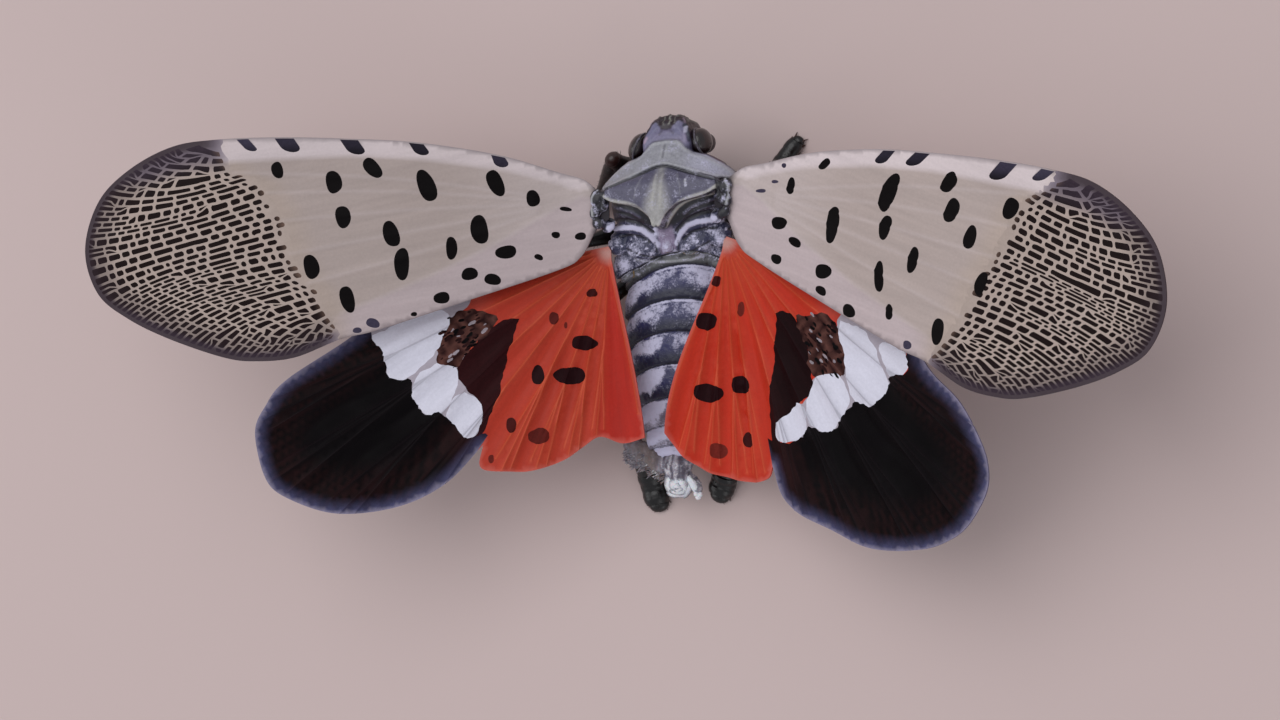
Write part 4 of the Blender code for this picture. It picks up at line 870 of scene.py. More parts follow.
def make_hindwing(side):
    rng = np.random.default_rng(31 if side == "left" else 32)
    outline = hindwing_outline(side)
    rays = HINDWING_OUTLINE[side]
    reach = max(radius for _, radius in rays) + 1.0
    far = [(angle, reach) for angle in np.linspace(DARK_FIELD[side][-1][0], DARK_FIELD[side][0][0], 14)]
    patches = [("bed", WHITE_BED[side], 0.06), ("wedge", DARK_WEDGE[side], 0.08), ("mottle", BROWN_MOTTLE[side], 0.14)]
    patches += [("white", patch, 0.07) for patch in WHITE_PATCHES[side]]
    patches += [("field", DARK_FIELD[side] + far, 0.05)]
    shapes, names = [], ["red"]
    for name, ring, size in patches:
        if name == "field":
            edge = curve_through(polar(DARK_FIELD[side]), 0.12)
            edge = edge + rng.uniform(-size, size, edge.shape)
            shape = np.concatenate([edge, polar(far)])
        else:
            closed = polar(ring + ring[:1])
            shape = ragged(curve_through(closed, 0.1)[:-1], rng, 0.11, size)
        shapes.append(shape)
        names.append(name)
    for _ in range(80):
        centre = polar(BROWN_MOTTLE[side]).mean(axis=0) + rng.normal(0.0, 1.0, 2) * np.array((0.75, 0.62))
        if not inside(centre[None], polar(BROWN_MOTTLE[side]))[0]:
            continue
        size = rng.uniform(0.06, 0.16)
        outwards = 180.0 - math.degrees(math.atan2(centre[0], -centre[1])) + rng.uniform(-15.0, 15.0)
        ring = oval((*centre, 2.6 * size, size, outwards), rng)[::3]
        shapes.append(ragged(ring, rng, 0.05, 0.03))
        names.append("fleck")
    for angle, distance, length, width, faint in RED_SPOTS[side]:
        centre = polar([(angle, distance)])[0]
        ring = oval((*centre, length, width, 0.0), rng)
        shapes.append(kept_in(ragged(ring, rng, 0.07, 0.03), outline, 0.05))
        names.append("spot")
    veins, crests = [], []
    for vein in HINDWING_VEINS[side]:
        radius = np.interp(vein, *np.array(rays).T) - 0.12
        line = curve_through(polar([(vein + 0.4 * math.sin(3 * share + vein), 0.9 + share * (radius - 0.9))
                                    for share in np.linspace(0.0, 1.0, 7)]), 0.2)
        crests.append(line)
        fork = rng.uniform(0.5, 0.62)
        for spread in (-2.1, 2.1):
            crests.append(curve_through(polar([(vein + spread * share ** 0.7, 0.9 + (fork + share * (1 - fork))
                                                * (radius - 1.15)) for share in np.linspace(0.0, 1.0, 6)]), 0.2))
    crests.append(inner_crest := curve_through(outline[2:50:8] + np.array((0.14, 0.0)), 0.2))
    lines = [line for crest in crests for line in parallel_lines(crest, 0.055)]
    verts, triangles, holders = cut_film(outline, shapes, lines, 0.2, 6)

    rim = outline[:-2]
    outer_rim = outline[49:-61]
    to_margin = distance_to(verts, rim)
    to_outer = distance_to(verts, outer_rim)
    to_vein = np.min([distance_to(verts, crest) for crest in crests], axis=0)
    angle = np.degrees(np.arctan2(verts[:, 0], -verts[:, 1]))
    radius = np.linalg.norm(verts, axis=1)
    valleys = np.array([rays[0][0]] + HINDWING_VEINS[side] + [rays[-1][0] + 1.0])
    place = np.searchsorted(valleys, angle).clip(1, len(valleys) - 1)
    share = (angle - valleys[place - 1]) / (valleys[place] - valleys[place - 1])
    whole = np.interp(angle, *np.array(rays).T)
    pleat = -PLEAT_DEPTH * (0.5 - 0.5 * np.cos(2 * math.pi * np.clip(share, 0, 1)))
    pleat *= smooth_step(0.0, 0.6, radius / whole)
    crinkle = 0.022 * np.sin(angle * 1.9 + 2.0 * np.sin(radius * 1.3)) * smooth_step(0.15, 0.9, to_margin)
    crinkle *= smooth_step(2.0, 5.0, radius)
    ridge = 0.04 * np.clip(1.0 - to_vein / 0.055, 0.0, 1.0)
    lift = pleat + crinkle + ridge
    top, bottom = lift + 0.5 * FILM, lift - 0.5 * FILM

    names = np.array(names)
    held = names[holders]
    kind = np.where(np.isin(held, ["red"]), RED_FILM, BLACK_FILM)
    kind = np.where(np.isin(held, ["white", "bed"]), WHITE_WAX, kind)
    flat = verts[triangles].reshape(-1, 2)
    held_corner = np.repeat(held, 3)
    margin_corner = to_margin[triangles].reshape(-1)
    outer_corner = to_outer[triangles].reshape(-1)
    vein_corner = np.clip(1.0 - to_vein / 0.07, 0.0, 1.0)[triangles].reshape(-1)
    angle_corner = np.degrees(np.arctan2(flat[:, 0], -flat[:, 1]))
    radius_corner = np.linalg.norm(flat, axis=1)
    red = mixed(RED_ROOT_TONE, RED_TONE, smooth_step(0.5, 3.5, radius_corner))
    if side == "left":
        red = mixed(red, RED_DULL, 0.45)
        red = mixed(red, LOBE_TONE, smooth_step(4.6, 3.2, angle_corner))
    red = mixed(red, RED_VEIN_TONE, 0.4 * vein_corner)
    red = mixed(red, ROOT_TIP_TONE, smooth_step(0.75, 0.2, radius_corner))
    red = mixed(red, RED_EDGE_TONE, smooth_step(0.14, 0.03, margin_corner) * 0.6)
    near_field = smooth_step(1.0, 0.0, np.abs(radius_corner - 6.0)) * smooth_step(60, 70, angle_corner)
    red = mixed(red, RED_EDGE_TONE, 0.35 * near_field)
    black = mixed(BLACK_TONE, BROWN_BLACK_TONE, smooth_step(2.4, 1.0, outer_corner)
                  * (0.5 + 0.5 * np.sin(angle_corner * 5.0)) * 0.7)
    brown_side = smooth_step(6.0, 0.0, np.abs(angle_corner - (38.0 if side == "left" else 24.0)))
    black = mixed(black, BROWN_BLACK_TONE, brown_side * smooth_step(11.5, 10.0, radius_corner) * 0.8)
    black = mixed(black, DARK_VEIN_TONE, vein_corner * 0.25)
    band = np.clip(1.0 - outer_corner / 0.65, 0.0, 1.0) ** 1.3
    black = mixed(black, BLUE_EDGE_TONE, band * (0.85 + 0.15 * np.sin(angle_corner * 8.0)))
    black = mixed(black, PALE_LINE_TONE, smooth_step(0.09, 0.03, outer_corner) * 0.7)
    white = mixed(WHITE_TONE, DARK_VEIN_TONE, vein_corner * 0.35)
    wedge = mixed(black, WEDGE_TONE, {"left": 0.75, "right": 0.3}[side])
    brown = mixed(BROWN_TONE, BROWN_BLACK_TONE, 0.5 + 0.5 * np.sin(flat[:, 0] * 9.0 + 2 * np.sin(flat[:, 1] * 7.0)))
    fleck_tones = np.array([BLACK_TONE, BROWN_BLACK_TONE, BROWN_BLACK_TONE, BLACK_TONE, mixed(WHITE_TONE, BROWN_TONE, 0.65)])
    pick = rng.integers(0, 5, len(shapes) + 1)
    paint = np.where((held_corner == "red")[:, None], red, black)
    paint = np.where((held_corner == "white")[:, None], white, paint)
    paint = np.where((held_corner == "bed")[:, None], BED_TONE, paint)
    paint = np.where((held_corner == "wedge")[:, None], wedge, paint)
    paint = np.where((held_corner == "mottle")[:, None], brown, paint)
    paint = np.where((held_corner == "fleck")[:, None], fleck_tones[np.repeat(pick[holders], 3)], paint)
    faint = np.zeros(len(shapes) + 1)
    faint[-len(RED_SPOTS[side]):] = [spot[4] for spot in RED_SPOTS[side]]
    spot_paint = mixed(RED_SPOT_TONE, mixed(RED_TONE, BROWN_TONE, 0.5), np.repeat(faint[holders], 3))
    paint = np.where((held_corner == "spot")[:, None], spot_paint, paint)
    grain = np.stack([np.radians(angle) * 6.0, radius], axis=1)
    return film_object("wing_hind_" + side, side, HINDWING_HINGE, HINDWING_BEND_FROM, verts, triangles,
                       top, bottom, kind, paint.reshape(-1, 3, 3), grain, hindwing_materials)


hindwings = {}
for side in SIDES:
    hindwings[side] = make_hindwing(side)
    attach(hindwings[side], "root")
    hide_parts("hindwing_" + side)

# Trunk: one shell over head, collar, thorax and abdomen, so that no seam shows. It grows from
# closed lofts and lumps that are fused, is carved by ridges and grooves, and is dusted with wax.
PRONOTUM_FRONT = 8.0
PRONOTUM_REAR = 7.0
BELLY = 2.2
TRUNK_VOXEL = 0.05
# Face from the beak's root up to the crown: heights, how far ahead, half width of face and cheeks
FACE_HEIGHTS = [2.2, 2.6, 3.1, 3.6, 4.2, 4.7, 5.0, 5.2, 5.32]
FACE_FRONTS = [8.2, 8.5, 8.72, 8.88, 9.02, 9.1, 9.1, 8.98, 8.7]
FACE_WIDTHS = [0.4, 0.62, 0.78, 0.8, 0.74, 0.68, 0.62, 0.56, 0.5]
CHEEK_WIDTHS = [0.6, 0.82, 0.94, 1.0, 1.06, 1.08, 1.06, 1.0, 0.9]
COLLAR_FRONT = [(0.0, 0.04), (0.45, 0.03), (0.62, -0.04), (0.85, -0.3), (1.15, -0.5), (1.7, -0.67), (2.3, -1.02),
                (2.95, -1.48), (3.3, -1.75)]
# Collar from front to rear: share of its length, half width, top
COLLAR = [(-0.5, 2.2, 4.5), (0.0, 2.9, 5.2), (0.25, 3.05, 5.42), (0.6, 3.2, 5.56), (1.0, 3.25, 5.7), (1.35, 2.85, 5.5)]
# Thorax: along, half width, top, how much of the chevron it follows
THORAX = [(6.8, 2.6, 5.6, 1.0), (6.0, 2.56, 5.62, 0.7), (5.2, 2.45, 5.5, 0.2), (4.5, 2.25, 5.05, 0.0),
          (3.9, 2.15, 4.5, 0.0), (3.3, 2.05, 4.1, 0.0), (2.8, 1.9, 3.85, 0.0), (2.3, 1.6, 3.65, 0.0)]
# Shield of the thorax: along and half width, with its raised hind border drawn in steps
SHIELD = [(7.0, 0.25), (6.85, 0.75), (6.66, 1.3), (6.48, 1.85), (6.3, 2.35), (6.1, 2.5), (5.93, 2.48), (5.76, 2.2), (5.62, 1.85), (5.54, 1.4), (5.45, 1.02),
          (5.3, 0.74), (5.1, 0.52), (4.9, 0.34), (4.7, 0.22), (4.46, 0.12)]
TERGITES = [3.36, 2.93, 1.6, 0.25, -1.1, -2.5, -3.65, -4.5, -5.3]
ABDOMEN = {
    "along": [-5.35, -4.8, -4.0, -2.5, -1.0, 0.5, 1.8, 2.65, 3.3],
    "half_width": [0.75, 1.15, 1.45, 1.92, 2.22, 2.36, 2.4, 2.3, 2.05],
    "top": [2.3, 2.62, 2.85, 3.24, 3.53, 3.7, 3.72, 3.74, 3.8],
    "bottom": [1.95, 1.75, 1.55, 1.25, 1.1, 1.1, 1.3, 1.8, 2.1],
}
TERGITE_STEP = 0.13
TERGITE_BOW = 0.12
TERGITE_LEAN = 0.13

COLLAR_TONE = linear(141, 140, 148)
COLLAR_PALE = linear(170, 170, 173)
COLLAR_SHEEN = linear(166, 164, 180)
SHIELD_TONE = linear(80, 77, 98)
SHIELD_PALE = linear(176, 173, 168)
HOLLOW_TONE = linear(26, 24, 33)
CREST_TONE = linear(206, 202, 224)
PLATE_TONE = linear(44, 45, 74)
CENTRE_TONE = linear(142, 128, 154)
HEAD_TONE = linear(108, 105, 134)
TEMPLE_TONE = linear(42, 29, 40)
SLATE_TONE = linear(46, 50, 66)
FACE_TONE = linear(36, 20, 27)
FACE_KEEL_TONE = linear(150, 148, 140)
ROSE_TONE = linear(164, 142, 164)
RED_BROWN_TONE = linear(88, 46, 52)
SIDE_TONE = linear(40, 35, 42)
BELLY_TONE = linear(30, 26, 28)
YELLOW_TONE = linear(196, 152, 62)
TERGITE_TONE = linear(42, 42, 86)
TERGITE_DARK = linear(14, 14, 22)
HIND_END_TONE = linear(140, 130, 144)
OLIVE_TONE = linear(98, 99, 100)
GROOVE_TONE = linear(20, 19, 27)
WAX_TONE = linear(198, 195, 220)


def front_edge(u):
    """How far the collar's front edge falls back: flat before the middle, notched for the eyes."""
    return np.interp(np.abs(u), *np.array(COLLAR_FRONT).T)


def collar_undercut(u, z):
    """How far the collar's wall stands back below its front margin, which dips to the sides."""
    margin = 5.25 - 0.8 * smooth_step(0.8, 3.0, np.abs(u))
    low = 0.3 * np.maximum(0.0, 3.8 - z)
    return low + 0.38 * smooth_step(0.0, -0.6, z - margin) * smooth_step(0.85, 1.3, np.abs(u))


def chevron(u):
    """How far the collar's hind edge falls back, blunt in the middle."""
    return -0.33 * (np.sqrt(u * u + 0.04) - 0.2)


def trunk_place(points):
    """Trunk millimetres to places in metres, after the trunk's slight skew."""
    points = np.asarray(points, float)
    skew = SKEW * smooth_step(0.5, 4.0, points[:, 1])
    return np.stack([points[:, 0] + STAND_ACROSS, points[:, 1] + skew * points[:, 0] + STAND_ALONG,
                     points[:, 2]], axis=1) * MM


def lofted(rings):
    """A closed blank through rings of equal count: its points and faces."""
    rings = np.array(rings, float)
    rows, count = rings.shape[:2]
    verts = np.concatenate([rings.reshape(-1, 3), rings[0].mean(axis=0)[None], rings[-1].mean(axis=0)[None]])
    here = np.arange(count)
    after = (here + 1) % count
    faces = []
    for row in range(rows - 1):
        a, b = row * count + here, row * count + after
        faces += np.stack([a, b, b + count, a + count], axis=1).tolist()
    base = (rows - 1) * count
    faces += np.stack([after, here, np.full(count, rows * count)], axis=1).tolist()
    faces += np.stack([base + here, base + after, np.full(count, rows * count + 1)], axis=1).tolist()
    return verts, faces


def lump(centre, radii, turn=0.0, roll=0.0, rows=12, columns=24):
    """A closed ellipsoid blank, rolled about Y and then turned about Z, in degrees."""
    turns = np.linspace(0.0, 2.0 * math.pi, columns, endpoint=False)
    rings = [np.stack([math.sin(lean) * np.cos(turns), math.sin(lean) * np.sin(turns),
                       np.full(columns, -math.cos(lean))], axis=1) * radii
             for lean in np.linspace(0.1, math.pi - 0.1, rows)]
    spin = np.array(Matrix.Rotation(math.radians(turn), 3, "Z") @ Matrix.Rotation(math.radians(roll), 3, "Y"))
    return lofted(np.array(rings) @ spin.T + np.array(centre))


def tube(points, radii, sides=12, squash=1.0, rows=None):
    """A closed tube blank along a smooth path; its radii are spread evenly along it."""
    points = np.array(points, float)
    rows = rows or 4 * len(points)
    length = np.sum(np.linalg.norm(np.diff(points, axis=0), axis=1))
    path = curve_through(points, length / rows)
    shares = np.linspace(0.0, 1.0, len(path))
    sizes = np.interp(shares, np.linspace(0.0, 1.0, len(radii)), radii)
    ways = np.gradient(path, axis=0)
    ways /= np.linalg.norm(ways, axis=1)[:, None]
    rings = []
    across = np.cross(ways[0], (0.0, 0.0, 1.0))
    if np.linalg.norm(across) < 0.1:
        across = np.array((1.0, 0.0, 0.0))
    turns = np.linspace(0.0, 2.0 * math.pi, sides, endpoint=False)
    for place, way, size in zip(path, ways, sizes):
        across = across - way * (across @ way)
        across /= np.linalg.norm(across)
        up = np.cross(across, way)
        rings.append(place + size * (np.cos(turns)[:, None] * across + squash * np.sin(turns)[:, None] * up))
    return lofted(rings)


def gathered(blanks):
    """Several blanks as one list of points and one of faces."""
    verts, faces = [], []
    for blank_verts, blank_faces in blanks:
        faces += [tuple(k + len(verts) for k in face) for face in blank_faces]
        verts += [tuple(v) for v in blank_verts]
    return verts, faces


def fused(blanks, voxel, rounds):
    """One surface round overlapping blanks: points, four-sided faces and edges, slightly smoothed."""
    verts, faces = gathered(blanks)
    mesh = bpy.data.meshes.new("blank")
    mesh.from_pydata(verts, [], faces)
    blank = bpy.data.objects.new("blank", mesh)
    bpy.context.scene.collection.objects.link(blank)
    remesh = blank.modifiers.new("fuse", "REMESH")
    remesh.mode = "VOXEL"
    remesh.voxel_size = voxel
    grown = bpy.data.meshes.new_from_object(blank.evaluated_get(bpy.context.evaluated_depsgraph_get()))
    points = np.empty(len(grown.vertices) * 3)
    grown.vertices.foreach_get("co", points)
    points = points.reshape(-1, 3)
    quads = np.empty(len(grown.polygons) * 4, np.int32)
    grown.polygons.foreach_get("vertices", quads)
    edges = np.empty(len(grown.edges) * 2, np.int32)
    grown.edges.foreach_get("vertices", edges)
    edges = edges.reshape(-1, 2)
    bpy.data.objects.remove(blank)
    bpy.data.meshes.remove(mesh)
    bpy.data.meshes.remove(grown)
    return relaxed(points, edges, rounds), quads.reshape(-1, 4), edges


def relaxed(points, edges, rounds):
    """Points moved part of the way to the middle of their neighbours, several times."""
    count = len(points)
    ends = np.concatenate([edges[:, 0], edges[:, 1]])
    others = np.concatenate([edges[:, 1], edges[:, 0]])
    degree = np.maximum(np.bincount(ends, minlength=count), 1)[:, None]
    for _ in range(rounds):
        middle = np.stack([np.bincount(ends, points[others, k], minlength=count) for k in range(3)], axis=1) / degree
        points = points + 0.5 * (middle - points)
    return points


def normals_of(points, quads):
    across = points[quads[:, 2]] - points[quads[:, 0]]
    along = points[quads[:, 3]] - points[quads[:, 1]]
    face = np.cross(across, along)
    summed = np.zeros_like(points)
    for k in range(4):
        for axis in range(3):
            summed[:, axis] += np.bincount(quads[:, k], face[:, axis], minlength=len(points))
    return summed / np.maximum(np.linalg.norm(summed, axis=1), 1e-12)[:, None]


def rough_noise(points, scale, seed=0.0):
    """Soft noise from about -1 to 1 at each point."""
    return np.array([noise.noise(Vector((p[0] * scale + seed, p[1] * scale, p[2] * scale))) for p in points])


def head_blank():
    rings = []
    for z in np.linspace(FACE_HEIGHTS[0], FACE_HEIGHTS[-1], 26):
        front = np.interp(z, FACE_HEIGHTS, FACE_FRONTS)
        face = np.interp(z, FACE_HEIGHTS, FACE_WIDTHS)
        cheek = np.interp(z, FACE_HEIGHTS, CHEEK_WIDTHS)
        rear = 7.3 - 0.2 * (z - 3.5)
        half = [(0.0, front), (0.5 * face, front - 0.03), (face, front - 0.16), (face + 0.16, front - 0.42),
                (cheek, front - 0.85), (cheek, 7.75), (0.9 * cheek, rear), (0.4 * cheek, rear), (0.0, rear)]
        right = curve_through(half, 0.12)
        outline = np.concatenate([right, right[-2:0:-1] * (-1.0, 1.0)])
        closed = np.concatenate([outline, outline[:1]])
        run = np.concatenate([[0.0], np.cumsum(np.linalg.norm(np.diff(closed, axis=0), axis=1))])
        wanted = np.linspace(0.0, run[-1], 72, endpoint=False)
        rings.append(np.stack([np.interp(wanted, run, closed[:, 0]), np.interp(wanted, run, closed[:, 1]),
                               np.full(72, z)], axis=1))
    return lofted(rings)


def body_section(half_width, top, bottom, belly, crown, count=72):
    """Points out and up round a rounded section: crown shapes the back, belly the underside."""
    turns = np.linspace(0.0, 2.0 * math.pi, count, endpoint=False)
    c, s = np.cos(turns), np.sin(turns)
    power = np.where(s >= 0, 2.0 / crown, 2.0 / belly)
    u = half_width * np.sign(c) * np.abs(c) ** power
    z = 0.5 * (top + bottom) + 0.5 * (top - bottom) * np.sign(s) * np.abs(s) ** power
    return u, z


def stations(table, spacing):
    """A table of body stations, drawn finer by a smooth curve through it."""
    return curve_through(table, spacing)


def collar_blank():
    rings = []
    for share, half_width, top in stations(COLLAR, 0.08):
        u, z = body_section(half_width, top, BELLY, 4.0, 2.25)
        u = u * (1.0 - 0.12 * smooth_step(4.5, 3.9, z) - 0.26 * smooth_step(4.2, 2.4, z))
        ahead = PRONOTUM_FRONT + front_edge(u) - collar_undercut(u, z)
        behind = PRONOTUM_REAR + chevron(u)
        rings.append(np.stack([u, ahead + share * (behind - ahead), z], axis=1))
    return lofted(rings)


def thorax_blank():
    rings = []
    for along, half_width, top, share in stations(THORAX, 0.12):
        u, z = body_section(half_width, top, BELLY, 5.0, 2.5)
        u = u * (1.0 - 0.2 * smooth_step(4.2, 2.3, z))
        rings.append(np.stack([u, along + share * chevron(u), z], axis=1))
    return lofted(rings)


def shield_blank():
    rings = []
    for along, half_width in stations(SHIELD, 0.06):
        top = 6.12 - 0.1 * (along - 5.5) ** 2 - 0.3 * smooth_step(6.2, 7.0, along)
        u = np.linspace(-1.0, 1.0, 41)
        arch = top - 0.3 * u ** 2 * half_width / 2.5
        upper = np.stack([u * half_width, np.full(41, along), arch], axis=1)
        lower = upper[::-1] * (0.97, 1.0, 1.0)
        lower[:, 2] = 4.8
        rings.append(np.concatenate([upper, lower]))
    return lofted(rings)


def abdomen_blank():
    rings = []
    for along in np.linspace(ABDOMEN["along"][0], ABDOMEN["along"][-1], 60):
        half_width, top, bottom = (np.interp(along, ABDOMEN["along"], ABDOMEN[label])
                                   for label in ("half_width", "top", "bottom"))
        u, z = body_section(half_width, top, bottom, 2.3, 2.05)
        rings.append(np.stack([u, np.full(len(u), along), z], axis=1))
    return lofted(rings)


CREST_PATH = [(0.42, 3.8, 4.42), (0.66, 4.16, 4.62), (1.0, 4.42, 4.72), (1.4, 4.54, 4.74), (1.9, 4.58, 4.68),
              (2.3, 4.58, 4.55)]


def trunk_blanks():
    blanks = [head_blank(), collar_blank(), thorax_blank(), shield_blank(), abdomen_blank()]
    blanks.append(lump((0.0, 8.35, 3.0), (0.62, 0.5, 0.75)))
    blanks.append(lump((0.0, 3.7, 4.42), (0.26, 0.34, 0.2)))
    for sign in (-1, 1):
        blanks.append(lump((sign * 2.74, 5.88, 5.62), (0.32, 0.4, 0.2), sign * -15))
        blanks.append(lump((sign * 2.82, 5.3, 5.58), (0.26, 0.3, 0.17), sign * 10))
        blanks.append(lump((sign * 2.7, 4.85, 5.45), (0.3, 0.26, 0.17), sign * 25))
        blanks.append(lump((sign * 2.35, 4.75, 5.2), (0.3, 0.34, 0.16), sign * 20))
        blanks.append(lump((sign * 2.5, 5.55, 5.5), (0.22, 0.26, 0.2)))
        crest = [(sign * u, along, z) for u, along, z in CREST_PATH]
        blanks.append(tube(crest, [0.12, 0.18, 0.22, 0.23, 0.2, 0.14], sides=14, squash=0.8, rows=30))
        blanks.append(lump((sign * 1.1, 3.8, 4.3), (0.82, 0.55, 0.3), sign * 14))
        blanks.append(lump((sign * 2.2, 4.05, 4.15), (0.5, 0.55, 0.34), sign * 10))
        blanks.append(lump((sign * 2.1, 3.05, 3.62), (0.5, 0.8, 0.42)))
        blanks.append(lump((sign * 1.25, 7.9, 3.75), (0.32, 0.42, 0.8)))
        blanks.append(lump((sign * 1.2, 6.4, 2.35), (0.62, 0.7, 0.5)))
        blanks.append(lump((sign * 1.2, 5.0, 2.35), (0.62, 0.65, 0.5)))
        blanks.append(lump((sign * 1.2, 3.55, 2.35), (0.6, 0.7, 0.5)))
    return blanks


